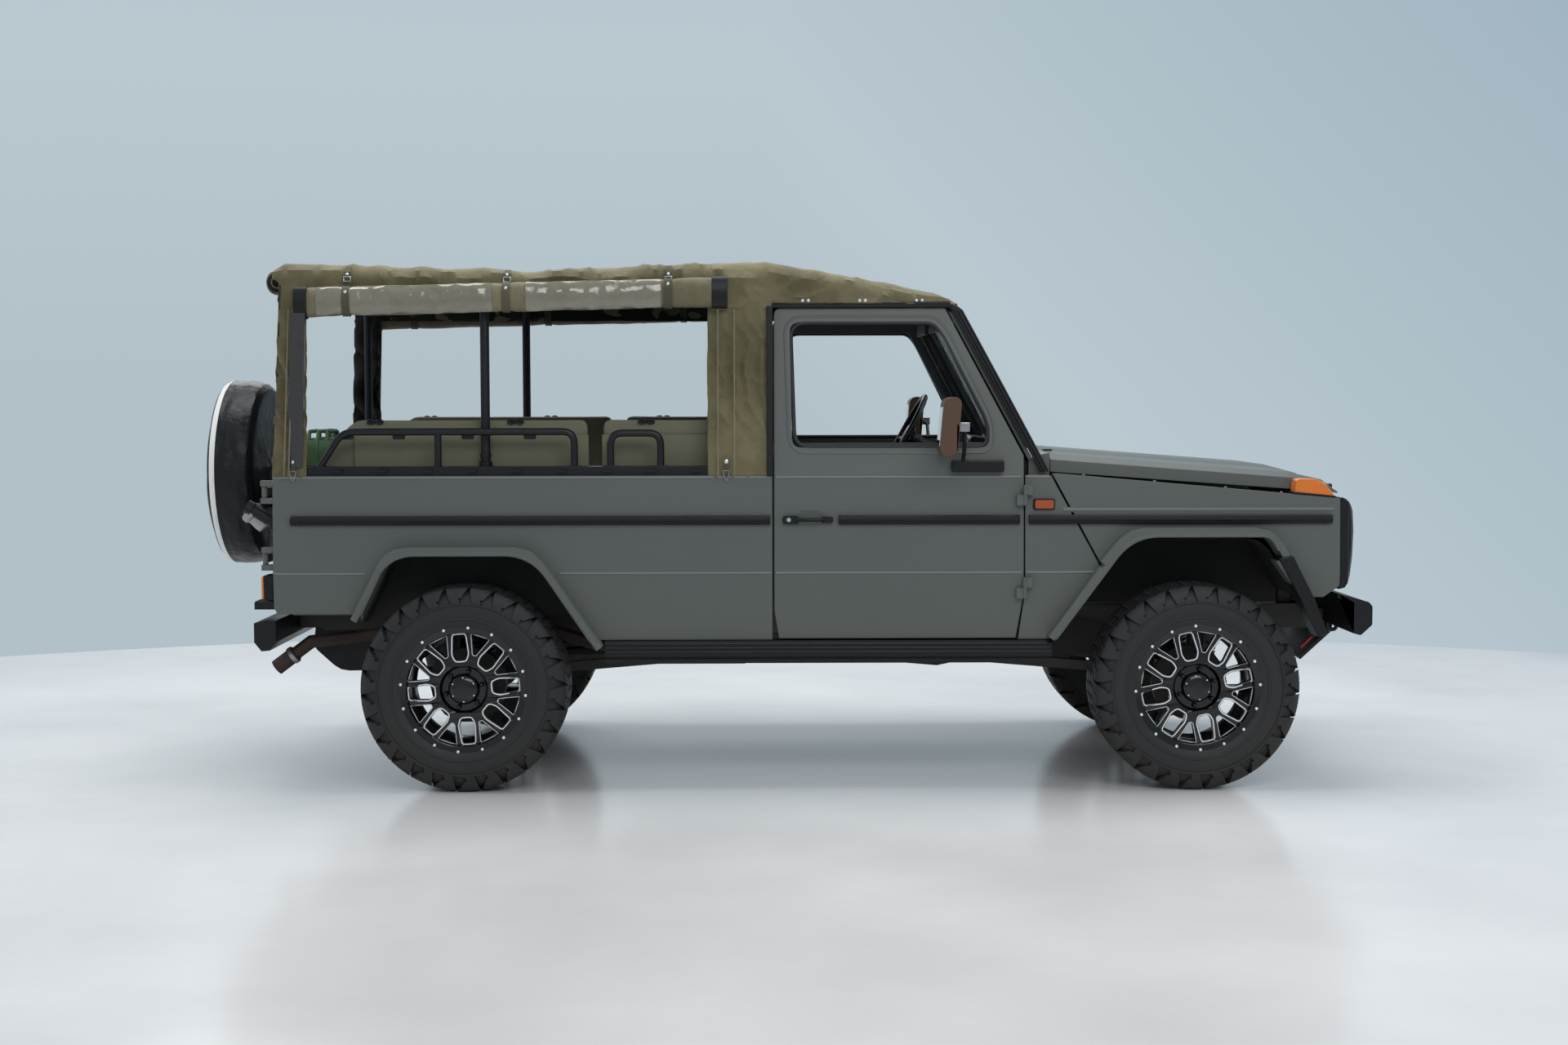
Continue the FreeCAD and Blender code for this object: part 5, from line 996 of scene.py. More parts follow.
def evenly(start, length, count):
    return [start + length * k / count for k in range(count + 1)]


def circle(count):
    """Angles at equal steps round a circle."""
    return [TAU * k / count for k in range(count)]


def roll_height(x):
    return 1899 + (x - ROLL_START) / ROLL_LENGTH * 38


def roll_ring(x, side, swell):
    """The roll's outline at x, with soft lumps."""
    crease = drift(x / 130, side * 3.1, 0.4)
    ring = []
    for a in circle(ROLL_CORNERS):
        size = swell * (1 + 0.05 * drift(x / 90, math.cos(a) * 1.6, math.sin(a) * 1.6 + side))
        ring.append(at(x, side * (766 + 29 * size * math.cos(a)),
                       roll_height(x) + 57 * size * math.sin(a) + 3 * crease))
    return ring


def pinched(x):
    """The roll is a tenth thinner under each strap."""
    near = min(abs(x - s) for s in STRAPS)
    return 1 - 0.10 * math.exp(-(near / 26) ** 2)


def film_line(x, side):
    """The outer part of the roll's outline, from below to above, raised in soft wrinkles."""
    ring = roll_ring(x, side, pinched(x))
    centre = sum(ring, Vector()) / len(ring)
    keep = []
    for p, a in zip(ring, circle(ROLL_CORNERS)):
        turned_to = (a + math.pi) % TAU - math.pi
        if -1.25 < turned_to < 1.30:
            wave = 0.004 * drift(x / 40, a * 2.0, side * 5.0)
            wave += 0.003 * ridge(drift(x / 70, a * 1.3 + x / 160, side * 2.0))
            keep.append((turned_to, p + (p - centre).normalized() * (0.0022 + wave)))
    return [p for turned_to, p in sorted(keep, key=lambda item: item[0])]


for side_name, side in SIDES:
    rings = [roll_ring(x, side, pinched(x)) for x in evenly(ROLL_START, ROLL_LENGTH, 132)]
    roll = settle(f"side_roll_{side_name}", skin("roll", rings, caps=True), *ROLL)
    if side < 0:
        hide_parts("curtain_rolls")
    for label, start, stop in (("rear", -560, 118), ("front", 248, 770)):
        lines = [film_line(x, side) for x in evenly(start, stop - start, 48)]
        settle(f"window_film_{label}_{side_name}", skin("film", lines, around=False), film, *ROLL[1:])
    for label, x, half in (("rear", -622, 26), ("front", 996, 30)):
        rings = [roll_ring(x + dx, side, 1.10) for dx in (-half, 4 - half, half - 4, half)]
        settle(f"roll_cuff_{label}_{side_name}", skin("cuff", rings, caps=True), *TRIM)

# %% Straps and buckles
strap_head = [(0, 0.2), (0, 6.5), (3, 5.5), (4.5, 3), (5, 0.2)]
strap_rivet = [(0, 0.2), (0, 7), (3, 6), (4.5, 3), (5, 0.2)]


@both_sides
def strap_loops(name, side, x, *look):
    """A band round the roll, with a little thickness."""
    centre = at(x, side * 766, roll_height(x))
    ways = [Vector((0, side * 33 * math.cos(a), 60 * math.sin(a))) for a in circle(32)]
    line = [centre + way * 0.95 / 1000 for way in ways]
    rings = [[p + Vector((dx / 1000, 0, 0)) + (p - centre).normalized() * grow / 1000 for p in line]
             for dx, grow in ((-15, 0), (-15, 1.6), (15, 1.6), (15, 0))]
    return settle(name, skin("strap", rings, loop=True), *look)


for k, x in enumerate(STRAPS):
    strap_loops(f"roll_strap_{k}", x, *WEB)
    spots = [roof_point(x, v) for v in (1.4, 1.15, 1.0, 0.975, 0.955, 0.935)]
    tail = [(y + 12, z + 5) for y, z in spots]
    crosses(f"strap_tail_{k}", tail + [(y - 4, z - 3) for y, z in reversed(tail)], x - 12, 24, *WEB)
    y, z = roof_point(x, 1.0)
    pipes(f"buckle_{k}", [(x - 13, y + 17, z - 12), (x + 13, y + 17, z - 12), (x + 13, y + 16, z + 6),
                          (x - 13, y + 16, z + 6)], 2.0, *BRIGHT, closed=True)
    heads(f"strap_stud_{k}", strap_head, (x, y + 12, z + 15), (0, 1, 0.3), 16, *BRIGHT)
    heads(f"strap_rivet_{k}", strap_rivet, (x, 797, roll_height(x) + 35), (0, 1, 0), 16, *BRIGHT)

# %% Rolled rear window
rings = [[at(-753 + (43 + 3 * drift(y / 80, a, 1)) * math.cos(a), y,
             1984 + (48 + 4 * drift(y / 90, a * 2, 5)) * math.sin(a)) for a in circle(26)]
         for y in evenly(-600, 1200, 60)]
settle("rear_roll", skin("rear_roll", rings, caps=True), *ROLL)
# A dark disc on the roll's end: painted shade between its turns.
heads("rear_roll_end", [(0, 0.2), (0, 38), (1.5, 38), (1.5, 0.2)], (-753, 600, 1984), (0, 1, 0), 26,
      canvas_painted_shade, *ROLL[1:])
heads("rear_roll_turn", [(0, 20), (0, 26), (9, 26), (9, 20)], (-750, 600, 1986), (0, 1, 0), 26, *ROLL)
print("rolled windows ready")

# %% [markdown]
# ## Wheel arches
# Each arch is lined with a near-black shell just under the painted one: painted shade in the wheelhouse,
# with a little dust. Its lip is a smooth pressed flare, wide at the top of the arch and running down both
# legs, with a rolled inner edge and a second fine line above it where the flare meets the flat side.

# %% Liners and flares
@both_sides
def sweeps(name, side, path, section, *look):
    """A section of (outwards, y) in millimetres carried along a path of (x, z) points."""
    rings = []
    for i, p in enumerate(path):
        tangent = (path[min(len(path) - 1, i + 1)] - path[max(0, i - 1)]).normalized()
        rings.append([at(p.x - tangent.y * out, side * y, p.y + tangent.x * out) for out, y in section])
    return settle(name, skin(name, rings, caps=True), *look)


LINER_OUTER = 736
liners = {
    "rear": ([(-410, 648), (-284, 917), (260, 917), (516, 536)], 583, 660),
    "front": ([(2346, 706), (2599, 974), (3124, 974), (3256, 748)], 402, 690),
}
# Near-black shells inside the arches: painted shade in the wheelhouses.
for end, (line, inner, low) in liners.items():
    path = bent(line, 70, 8)
    sweeps(f"arch_liner_{end}", path, [(0, inner), (0, LINER_OUTER), (-3, LINER_OUTER), (-3, inner)], *SHADE_LINING)
    cheek = [(p.x, max(p.y, low)) for p in path] + [(path[-1].x + 8, low), (path[0].x + 30, low)]
    plates(f"arch_cheek_{end}", cheek, inner, inner + 3, *SHADE_LINING)

# The flare's section: from the side panel out over a soft shoulder, and back in at the rolled edge.
flare = [(0, 770), (0, 848), (2, 851), (8, 851), (17, 848), (23, 842), (25, 834), (26, 780)]
inner_lip = [(-5, 838), (-5, 850), (-1, 854), (4, 853), (6, 847), (4, 838)]
for end, line in (("rear", [(-414, 664), (-287, 923), (264, 923), (519, 552)]),
                  ("front", [(2298, 592), (2593, 991), (3128, 991), (3162, 934)])):
    path = bent(line, 105, 12)
    sweeps(f"arch_flare_{end}", path, flare, *PAINT)
    sweeps(f"arch_edge_{end}", path, inner_lip, *PAINT)
# The apron behind the front wheel is the same near-black lining: painted shade.
plates("arch_apron", [(2330, 478), (2566, 478), (2566, 606), (2330, 640)], 384, 390, *SHADE_LINING, radius=12,
       bevel=0.001)
plates("arch_flap", [(3160, 906), (3214, 916), (3302, 744), (3354, 610), (3315, 598), (3254, 728)], 742, 857,
       *TRIM, bevel=0.005)
print("arches ready")

# %% [markdown]
# ## Pressed lines in the body
# Thin raised creases catch the light along the sides: one at the fold above the wheels, one at the belt,
# and a long swage that runs from the fender over the doors. A paler strip along each crease's upper edge
# is a painted highlight.

# %% Creases
def side_y(z):
    """Half width of the body side at a height."""
    return 785 + (1224 - z) * 15 / 374 if z >= 850 else 800 - (850 - z) * 15 / 265


@both_sides
def creases(name, side, start, stop, z, rise, width, body):
    profile = ((-width, -0.8), (-width * 0.45, rise * 0.6), (0, rise), (width * 0.45, rise * 0.6),
               (width, -0.8))
    section = [(side * (side_y(z + dz) + out), z + dz) for dz, out in profile]
    section += [(side * (side_y(z) - 5), z + width), (side * (side_y(z) - 5), z - width)]
    slab(name, "cross", section, start, stop - start, *on(body, PAINT))
    edge = side * (side_y(z) + rise)
    # The paler strip along the crease's upper edge is a painted highlight.
    lit = [(edge, z - 1.4), (edge + side * 0.5, z), (edge, z + 2.6), (edge - side * 2, z + 3)]
    slab(f"{name}_edge", "cross", lit, start, stop - start, line_paint, body, "body_paint")


for label, z, rise, width, stretches in (
        ("belt_line_", 1220, 2.5, 7, {"bed": (-738, 1196), "door": (1212, 2170), "cowl": (2186, 2276)}),
        ("fold_line_", 848, 2.8, 8, {"rear": (-738, -384), "bed": (372, 1196), "door": (1212, 2170),
                                     "cowl": (2186, 2470)}),
        ("fender_line", 1092, 2.0, 10, {"": (2330, 3386)})):
    for part, (start, stop) in stretches.items():
        creases(label + part, start, stop, z, rise, width, "door" if part == "door" else "chassis")
print("creases ready")

# %% [markdown]
# ## Trim on the body sides
# Black guard strips run along the sides at hand height, riveted in place. The rail on the load bed
# carries small staples for the canvas lacing. Both repeat at even steps, so the row tree sets them.

# %% Guard strips, rivets and staples
RIVET_GAP = 171
strip_section = [(789, 1037), (806, 1037), (811, 1041), (811, 1048), (816, 1050), (816, 1060), (811, 1062),
                 (811, 1067), (806, 1072), (789, 1072)]
rivet_mesh = bpy.data.meshes.new("rivet")
bm = bmesh.new()
bmesh.ops.create_uvsphere(bm, u_segments=10, v_segments=6, radius=0.0048)
bm.to_mesh(rivet_mesh)
bm.free()
staple_mesh = bpy.data.meshes.new("staple")
bm = bmesh.new()
for low, high in (((-19, -8, -4), (-14, 8, 4)), ((14, -8, -4), (19, 8, 4)),
                  ((-19, -11, -5), (19, -6, 5)), ((-19, 6, -5), (19, 11, 5))):
    for v in bmesh.ops.create_cube(bm, size=1.0)["verts"]:
        v.co = Vector([lo + (hi - lo) * (c + 0.5) for lo, hi, c in zip(low, high, v.co)]) / 1000
bm.to_mesh(staple_mesh)
bm.free()


@both_sides
def rows_of(name, side, piece_mesh, count, first, gap, body):
    """Steel pieces in a row along the car, the first at a place, the others at equal gaps."""
    start = at(*mirrored(first, side))
    copies = repeated(row_tree, piece_mesh, count, start, (gap / 1000, 0, 0), satin_black)
    return joined(name, [copies], *on(body, STEEL))


for label, start, stop, body in (("bed", -669, 1190, "chassis"), ("door", 1456, 2160, "door"),
                                 ("fender", 2196, 3378, "chassis")):
    crosses(f"guard_strip_{label}", strip_section, start, stop - start, *on(body, TRIM), bevel=0.0015)
    count = max(2, round((stop - start) / RIVET_GAP))
    rows_of(f"strip_rivets_{label}", rivet_mesh, count, (start + 30, 815.5, 1055),
            (stop - start - 60) / (count - 1), body)
rows_of("rail_staples", staple_mesh, 9, (-490, 775, 1246), 174, "chassis")

# %% [markdown]
# ## Window seals, gutters and door fittings
# The door glass is wound down, so its opening shows a raised pressed edge and a black seal. A black
# gutter closes the roof's edge over the doors and runs down the windscreen's posts.

# %% Seals and gutters
def door_y(z):
    """Half width of the door's outer face above the belt."""
    return 785 - (z - 1224) * 70 / 653


def post_y(z):
    """Half width of the canvas post behind the door."""
    return 798 - 0.0656 * (z - 1240)


def grown(points, amount):
    """The outline moved outwards by an amount."""
    line = [Vector(p) for p in points]
    centre = sum(line, Vector((0, 0))) / len(line)
    result = []
    for i, p in enumerate(line):
        normals = []
        for edge in (p - line[i - 1], line[(i + 1) % len(line)] - p):
            normal = Vector((edge.y, -edge.x)).normalized()
            normals.append(-normal if normal.dot(p - centre) < 0 else normal)
        middle = (normals[0] + normals[1]).normalized()
        result.append(p + middle * amount / max(0.4, middle.dot(normals[0])))
    return result


window_corners = [(1267, 1822), (1283, 1334), (2040, 1334), (2043, 1429), (1867, 1776), (1829, 1822)]
for label, growth, radius, inset, thick, look in (("seal", -3, 62, 6, 8, SEAL),
                                                  ("pressing", 21, 74, 2.5, 5.5, PAINT)):
    line = soften(grown(window_corners, growth), radius, 7)
    pipes(f"window_{label}", [(p.x, door_y(p.y) - inset, p.y) for p in line], thick, *on("door", look),
          closed=True)
pipes("window_channel", [(x, door_y(1345) - 14, 1345) for x in (1296, 2030)], 9, *on("door", SEAL))
plates("roof_gutter", [(1165, 1878), (1168, 1900), (1884, 1900), (1912, 1884), (1890, 1880)], 712, 730, *TRIM,
       bevel=0.002)
for n, (shift, thick) in enumerate(((2, 6.5), (15, 7.5), (27, 5.0))):
    gutter = ((1888, 722, 1884), (1912, 722, 1866), (2060, 742, 1592), (2248, 764, 1240))
    pipes(f"post_gutter_{n}", [(x + shift, y, z) for x, y, z in gutter], thick, *TRIM)

# %% Canvas posts, seams and studs
lean = [(post_y(z), z) for z in (1226, 1560, 1884)]
crosses("rear_post_strip", lean + [(y - 10, z) for y, z in reversed(lean)], 1177, 24, *TRIM, bevel=0.002)
for n in range(6):
    z = 1290 + 108 * n
    heads(f"post_screw_{n}", [(0, 0.2), (0, 4.5), (2, 4), (3, 0.2)], (1189, post_y(z), z), (0, 1, 0), 12,
          *STEEL)
plates("rear_corner_film", [(-678, 1262), (-620, 1262), (-602, 1858), (-658, 1858)], 790, 794, corner_film,
       *ROLL[1:])
for label, places, slope in (("front", (988, 1052), 0), ("rear", (-672, -690), 0.03)):
    for n, x in enumerate(places):
        seam = [(x + (z - 1240) * slope, 804 - 0.062 * (z - 1240), z) for z in (1226, 1400, 1560, 1720, 1872)]
        pipes(f"panel_seam_{label}_{n}", seam, 3.0, piping, *ROLL[1:])
for n, x in enumerate((1318, 1340, 1540, 1562, 1762, 1784)):
    heads(f"snap_stud_{n}", [(-3, 0.2), (-3, 7), (2, 6.5), (4, 3.5), (4.5, 0.2)],
          (x, between(half_line, x) + 5, 1906), (0, 1, 0), 16, *BRIGHT)

# %% Door handles and canvas latches
HANDLE_Y = side_y(1054)
for label, outline in (("base", [(1238, 1040), (1238, 1070), (1300, 1072), (1300, 1038)]),
                       ("tip", [(1388, 1042), (1388, 1068), (1435, 1066), (1435, 1044)])):
    plates(f"door_handle_{label}", outline, HANDLE_Y, HANDLE_Y + 16, *on("door", TRIM), radius=10,
           bevel=0.003)
pipes("door_handle_grip",
      [(x, HANDLE_Y + out, 1056) for x, out in ((1290, 14), (1312, 26), (1378, 26), (1398, 14))],
      8, *on("door", TRIM))
heads("door_lock", [(0, 0.2), (0, 9), (4, 8), (4, 0.2)], (1262, HANDLE_Y + 14, 1055), (0, 1, 0), 20,
      *on("door", BRIGHT))
cup = soften([(1298, 1034), (1392, 1034), (1392, 1092), (1298, 1092)], 26, 6)
pipes("door_handle_cup", [(p.x, side_y(p.y) - 1.0, p.y) for p in cup], 3.2, *on("door", PAINT), closed=True)
# The recess behind the handle is a darker body colour: painted shade.
plates("door_handle_well", [(1304, 1040), (1386, 1040), (1386, 1086), (1304, 1086)], HANDLE_Y - 1.6,
       HANDLE_Y + 0.4, recess_painted_shade, "door", "body_paint", radius=22)
plates("belt_latch_rear", [(-668, 1216), (-650, 1216), (-650, 1286), (-668, 1286)], 786, 790, *GREY, radius=4,
       bevel=0.001)
for label, x in (("rear", -659), ("front", 1020)):
    heads(f"latch_stud_{label}", [(0, 0.2), (0, 9), (4, 8), (6, 4), (6.5, 0.2)], (x, 789, 1282), (0, 1, 0),
          16, *BRIGHT)
    hook = ((-13, 793, 1246), (13, 793, 1246), (8, 793, 1222), (0, 794, 1206), (-8, 793, 1222))
    pipes(f"latch_hook_{label}", [(x + dx, y, z) for dx, y, z in hook], 3, *GREY, closed=True)
    bricks(f"latch_strap_{label}", (x - 9, 786, 1226), (x + 9, 792, 1290), *WEB)
print("side trim ready")

# %% [markdown]
# ## Lamps
# Headlamps are a bright bowl behind a round lens in a black ring. Amber indicators ride on the fender
# tops in black shoes, small amber repeaters sit behind the doors' hinges, and the tail lamps stack
# amber, red and clear fields.

# %% Lamps
def lamp(material):
    return material, "chassis", "lamp_lens"


headlamp = {
    "bowl": ([(0, 92), (-20, 84), (-52, 50), (-62, 20), (-62, 0.2), (-66, 0.2), (-66, 22), (-56, 54),
              (-22, 90), (-4, 96)], 48, lamp(reflector)),
    "lens": ([(0, 93), (6, 90), (14, 60), (17, 30), (18, 0.2), (14, 0.2), (13, 30), (10, 60), (3, 88)], 48,
             lamp(lens)),
    "ring": ([(-18, 96), (6, 94), (12, 98), (12, 106), (4, 110), (-18, 110)], 64, SATIN),
    "bulb": ([(-60, 16), (-24, 16), (-20, 12), (-20, 0.2), (-60, 0.2)], 24, lamp(bright_bolt)),
}
for label, (profile, steps, look) in headlamp.items():
    pieces = heads(f"headlamp_{label}", profile, (3488, 560, 985), (1, 0, 0), steps, *look)
    if label == "bowl":
        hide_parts("lamps")
plates("indicator_shoe", [(3230, 1148), (3396, 1133), (3398, 1143), (3234, 1160)], 702, 784, *TRIM,
       bevel=0.003)
plates("indicator_lens", [(3238, 1157), (3392, 1142), (3384, 1156), (3348, 1196), (3312, 1209), (3256, 1211),
                          (3243, 1204)], 706, 780, *lamp(amber), bevel=0.007)
plates("repeater_base", [(2213, 1092), (2298, 1092), (2298, 1135), (2213, 1135)], 789, 797, *TRIM, radius=8,
       bevel=0.002)
plates("repeater_lens", [(2220, 1097), (2292, 1097), (2292, 1130), (2220, 1130)], 796, 806, *lamp(dark_amber),
       radius=6, bevel=0.003)
for label, low, high, near, far, glow in (("indicator", 750, 836, 752, 778, amber),
                                          ("tail", 778, 836, 692, 750, red_lens),
                                          ("reverse", 750, 776, 692, 750, lens)):
    bricks(f"rear_{label}_lens", (-792, near, low), (-780, far, high), *lamp(glow), bevel=4)
print("lamps ready")

# %% [markdown]
# ## Mirrors
# Each mirror is a tall rounded shell on a steel arm, which stands on a black foot on the door below
# the front of its window.

# %% Mirrors
shells = plates("mirror_shell", [(1832, 1306), (1900, 1306), (1918, 1530), (1850, 1530)], 834, 986,
                mirror_shell, "door", "black_plastic", radius=52, bevel=0.018)
for shell, (side_name, side) in zip(shells, SIDES):
    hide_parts(f"mirror_{side_name}")
plates("mirror_pane", [(1832, 1345), (1838, 1345), (1850, 1492), (1844, 1492)], 852, 968, mirror_glass,
       "door", "black_plastic", bevel=0.001)
bricks("mirror_foot", (1895, 776, 1240), (2098, 815, 1286), *on("door", TRIM), bevel=6)
pipes("mirror_arm", [(1938, 800, 1280), (1938, 850, 1318), (1936, 905, 1400), (1912, 930, 1418)], 8,
      *on("door", TRIM))
bricks("mirror_clamp", (1905, 915, 1398), (1950, 955, 1434), *on("door", GREY), bevel=4)

# %% [markdown]
# ## Windscreen
# A black seal holds the pane in its frame, and two wipers rest on its lower edge. Dark strips on the
# inner side of its posts are painted shade.

# %% Seal and wipers
def on_screen(s, y, lift=0.0):
    """A point at s millimetres up the screen's slope."""
    return (2242 - 345 * s / 727 + 0.880 * lift, y, 1240 + 640 * s / 727 + 0.4745 * lift)


# Dark strips along the inner side of the screen's posts: painted shade.
pipes("screen_post_lining", [on_screen(112, 690, -30), on_screen(664, 652, -30)], 20, *SEAL, sides=5)
crosses("sun_visor", [(120, 1800), (600, 1800), (600, 1862), (120, 1862)], 1862, 14, *SEAL, radius=16,
        bevel=0.003)
# A dark web on each post's inner side: painted shade.
for side_name, side in SIDES:
    web = [[at(*on_screen(s, side * y, lift)) for s, y in ((110, 738), (724, 699), (724, 723), (110, 762))]
           for lift in (-4, 9)]
    settle(f"screen_post_web_{side_name}", skin("web", web, caps=True), *TRIM)
edge = [on_screen(s, y) for s, y in ((118, -668), (118, 668), (662, 634), (662, -634))]
pipe("screen_seal", edge, 11, *SEAL, closed=True)
for label, y in (("right", -430), ("left", 120)):
    arm = [on_screen(26, y, 12), on_screen(60, y + 160, 22), on_screen(94, y + 300, 16)]
    pipe(f"wiper_arm_{label}", arm, 4, *SATIN)
    blade = [on_screen(92, y + 60, 14), on_screen(96, y + 300, 17), on_screen(92, y + 520, 14)]
    pipe(f"wiper_blade_{label}", blade, 4.5, *SEAL)
    turned(f"wiper_pivot_{label}", [(-12, 0.2), (-12, 13), (8, 12), (12, 8), (12, 0.2)],
           at(*on_screen(24, y, 2)), (0.88, 0, 0.4745), 20, *SATIN)
print("windscreen ready")

# %% [markdown]
# ## Spare wheel in its cover
# The spare hangs on the tail door in a stretched black cover with a white band round its rear edge.
# The cover is a turned form with shallow folds; the wheel inside stays hidden.

# %% Spare cover
COVER_STEPS = 96
cover_profile = [(0, 0.2), (4, 120), (2, 250), (8, 330), (22, 368), (48, 386), (90, 390), (140, 388),
                 (180, 378), (200, 352), (203, 250), (203, 0.2)]


def cover_point(along, radius, a):
    """A point of the cover: its profile turned to an angle, with folds in the stretched cloth."""
    fold = drift(along / 90, math.cos(a) * 2.6, math.sin(a) * 2.6)
    fold += 0.8 * ridge(drift(along / 60, math.cos(a) * 3.0, math.sin(a) * 3.0 + along / 200))
    r = max(0.2, radius - (6 + 5 * fold if radius > 200 and not 20 < along < 60 else 4))
    return at(along + 2 + 1.5 * fold - 1108, r * math.cos(a) - 80, r * math.sin(a) + 1220)


fine = []
for (a0, r0), (a1, r1) in zip(cover_profile, cover_profile[1:]):
    fine += [(a0 + (a1 - a0) * n / 4, r0 + (r1 - r0) * n / 4) for n in range(4)]
fine.append(cover_profile[-1])
rings = [[cover_point(along, radius, a) for a in circle(COVER_STEPS)] for along, radius in fine]
cover = settle("spare_cover", skin("spare_cover", rings), cover_black, "tail_door", "cover_paint")
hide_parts("spare_wheel_cover")
band = [(35, 368), (42, 373), (50, 377), (58, 380), (58, 383.5), (50, 381.5), (41, 377.5), (34, 373)]
turned("cover_band", band, at(-1110, -80, 1220), (1, 0, 0), 96, cover_white, "tail_door", "cover_paint")
print("spare cover ready")

# %% [markdown]
# ## Filler neck
# The fuel filler leaves the right rear corner as a steel neck with a screwed cap.

# %% Filler
neck_way = (-78, 0, 81)
for label, profile, steps in (
        ("neck", [(0, 0.2), (0, 31), (20, 34), (52, 34), (56, 38), (62, 38), (62, 0.2)], 32),
        ("cap", [(60, 0.2), (60, 42), (66, 45), (82, 45), (88, 40), (89, 0.2)], 12)):
    turned(f"filler_{label}", profile, at(-790, -700, 1028), neck_way, steps, grey_steel, "chassis",
           "black_plastic")

# %% [markdown]
# ## Tubes
# The hoops, the roof tubes and the loops on the bed rails are round steel tube with swept bends. They
# stand on small feet and sockets.

# %% Tubes
HOOP_TOP, HOOP_HALF, LOOP_Y = 2002, 700, 755
hoop_line = ((-HOOP_HALF, 1262), (-HOOP_HALF, HOOP_TOP), (HOOP_HALF, HOOP_TOP), (HOOP_HALF, 1262))
for label, x in (("rear", -650), ("middle", 76), ("front", 1105)):
    hoop = pipe(f"hoop_{label}", bent([(x, y, z) for y, z in hoop_line], 110, 10), 18, *TUBE, sides=6)
    if label == "rear":
        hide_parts("canopy_frame")
    for part, profile, z in (("socket", [(0, 18), (0, 26), (42, 26), (46, 22), (46, 18)], 1236),
                             ("collar", [(0, 18), (0, 22), (16, 22), (16, 18)], 1296)):
        heads(f"hoop_{part}_{label}", profile, (x, HOOP_HALF, z), (0, 0, 1), 24, *HOOP_FITTING)
pipes("roof_tube", [(x, 622, HOOP_TOP) for x in (-650, 1105)], 14, *TUBE, sides=6)
rails = crosses("bed_rail", [(735, 1224), (771, 1224), (771, 1262), (678, 1262), (678, 1256), (735, 1256)],
                -724, 1920, *STEEL, bevel=0.002)
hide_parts("bed_rails")
for label, line in (("long", ((-566, 1256), (-474, 1398), (428, 1398), (428, 1256))),
                    ("short", ((569, 1256), (569, 1392), (764, 1392), (764, 1256)))):
    pipes(f"{label}_loop", bent([(x, LOOP_Y, z) for x, z in line], 48, 8), 14, *STEEL, sides=6)
    for n, x in enumerate((line[0][0], line[-1][0])):
        plates(f"{label}_loop_foot_{n}", [(x - 26, 1258), (x + 26, 1258), (x + 26, 1266), (x - 26, 1266)],
               738, 770, *STEEL, bevel=0.001)
pipes("loop_post", [(-102, LOOP_Y, 1256), (-102, LOOP_Y, 1394)], 14, *STEEL, sides=6)
for n, x in enumerate((-456, -256, 12, 254)):
    plates(f"loop_tab_{n}", [(x - 24, 1388), (x + 24, 1388), (x + 24, 1368), (x - 24, 1368)], 738, 744,
           *STEEL, radius=7, bevel=0.001)
print("tubes ready")

# %% [markdown]
# ## Padded pieces
# A pad starts as a plain block a little smaller than the finished cushion. It is remeshed into small
# cells, and air pressure inside a cloth skin swells it. Each point moves a limited way, and the side
# that rests on its board is held. Pads of the left side are the same shapes, mirrored.

# %% Air pressure in a cloth skin
AIR_FRAMES = 20


def block_mesh(plane, points, start, depth, radius):
    """A block with rounded corners as plain mesh data, as slab() builds it."""
    piece = slab("pad", plane, points, start, depth, seat_cloth, "chassis", "seat_cloth", radius=radius)
    mesh = piece.data.copy()
    bpy.data.objects.remove(piece)
    return mesh


def swollen(mesh, held, cap, voxel=0.009, pressure=4.0):
    """The mesh remeshed and swollen by pressure; held(point) tells which points stay."""
    source = bpy.data.objects.new("pad", mesh)
    scene.collection.objects.link(source)
    cells = source.modifiers.new("cells", "REMESH")
    cells.mode = "VOXEL"
    cells.voxel_size = voxel
    graph = bpy.context.evaluated_depsgraph_get()
    graph.update()
    start = bpy.data.meshes.new_from_object(source.evaluated_get(graph))
    source.modifiers.clear()
    source.data = start
    shaped = start.copy()
    group = source.vertex_groups.new(name="held")
    group.add([v.index for v in start.vertices if held(v.co)], 1.0, "REPLACE")
    air = source.modifiers.new("air", "CLOTH")
    air.settings.quality = 5
    air.settings.mass = 0.3
    air.settings.use_pressure = True
    air.settings.uniform_pressure_force = pressure
    air.settings.effector_weights.gravity = 0
    air.settings.vertex_group_mass = "held"
    air.point_cache.frame_start = 1
    air.point_cache.frame_end = AIR_FRAMES
    for frame_number in range(1, AIR_FRAMES + 1):
        scene.frame_set(frame_number)
    graph = bpy.context.evaluated_depsgraph_get()
    shaped = bpy.data.meshes.new_from_object(source.evaluated_get(graph))
    for before, after in zip(start.vertices, shaped.vertices):
        way = after.co - before.co
        if way.length > 1e-7:
            after.co = before.co + way.normalized() * cap * math.tanh(way.length / cap)
    scene.frame_set(1)
    bpy.data.objects.remove(source)
    bm = bmesh.new()
    bm.from_mesh(shaped)
    for turn in range(2):
        bmesh.ops.smooth_vert(bm, verts=bm.verts, factor=0.5, use_axis_x=True, use_axis_y=True,
                              use_axis_z=True)
    bm.to_mesh(shaped)
    bm.free()
    return shaped


def placed_pad(name, mesh, material, mirror=False, shift=0.0):
    copy = mesh.copy()
    if mirror:
        copy.transform(Matrix.Scale(-1, 4, (0, 1, 0)))
        copy.flip_normals()
    if shift:
        copy.transform(Matrix.Translation((0, shift / 1000, 0)))
    piece = settle(name, copy, material, "chassis", "seat_cloth")
    piece.data.set_sharp_from_angle(angle=math.pi)
    return piece


# %% Bench cushions and their latches
BACK_FACE, BACK_THICK, SEAT_BOTTOM, SEAT_THICK = -661, 35, 1064, 46


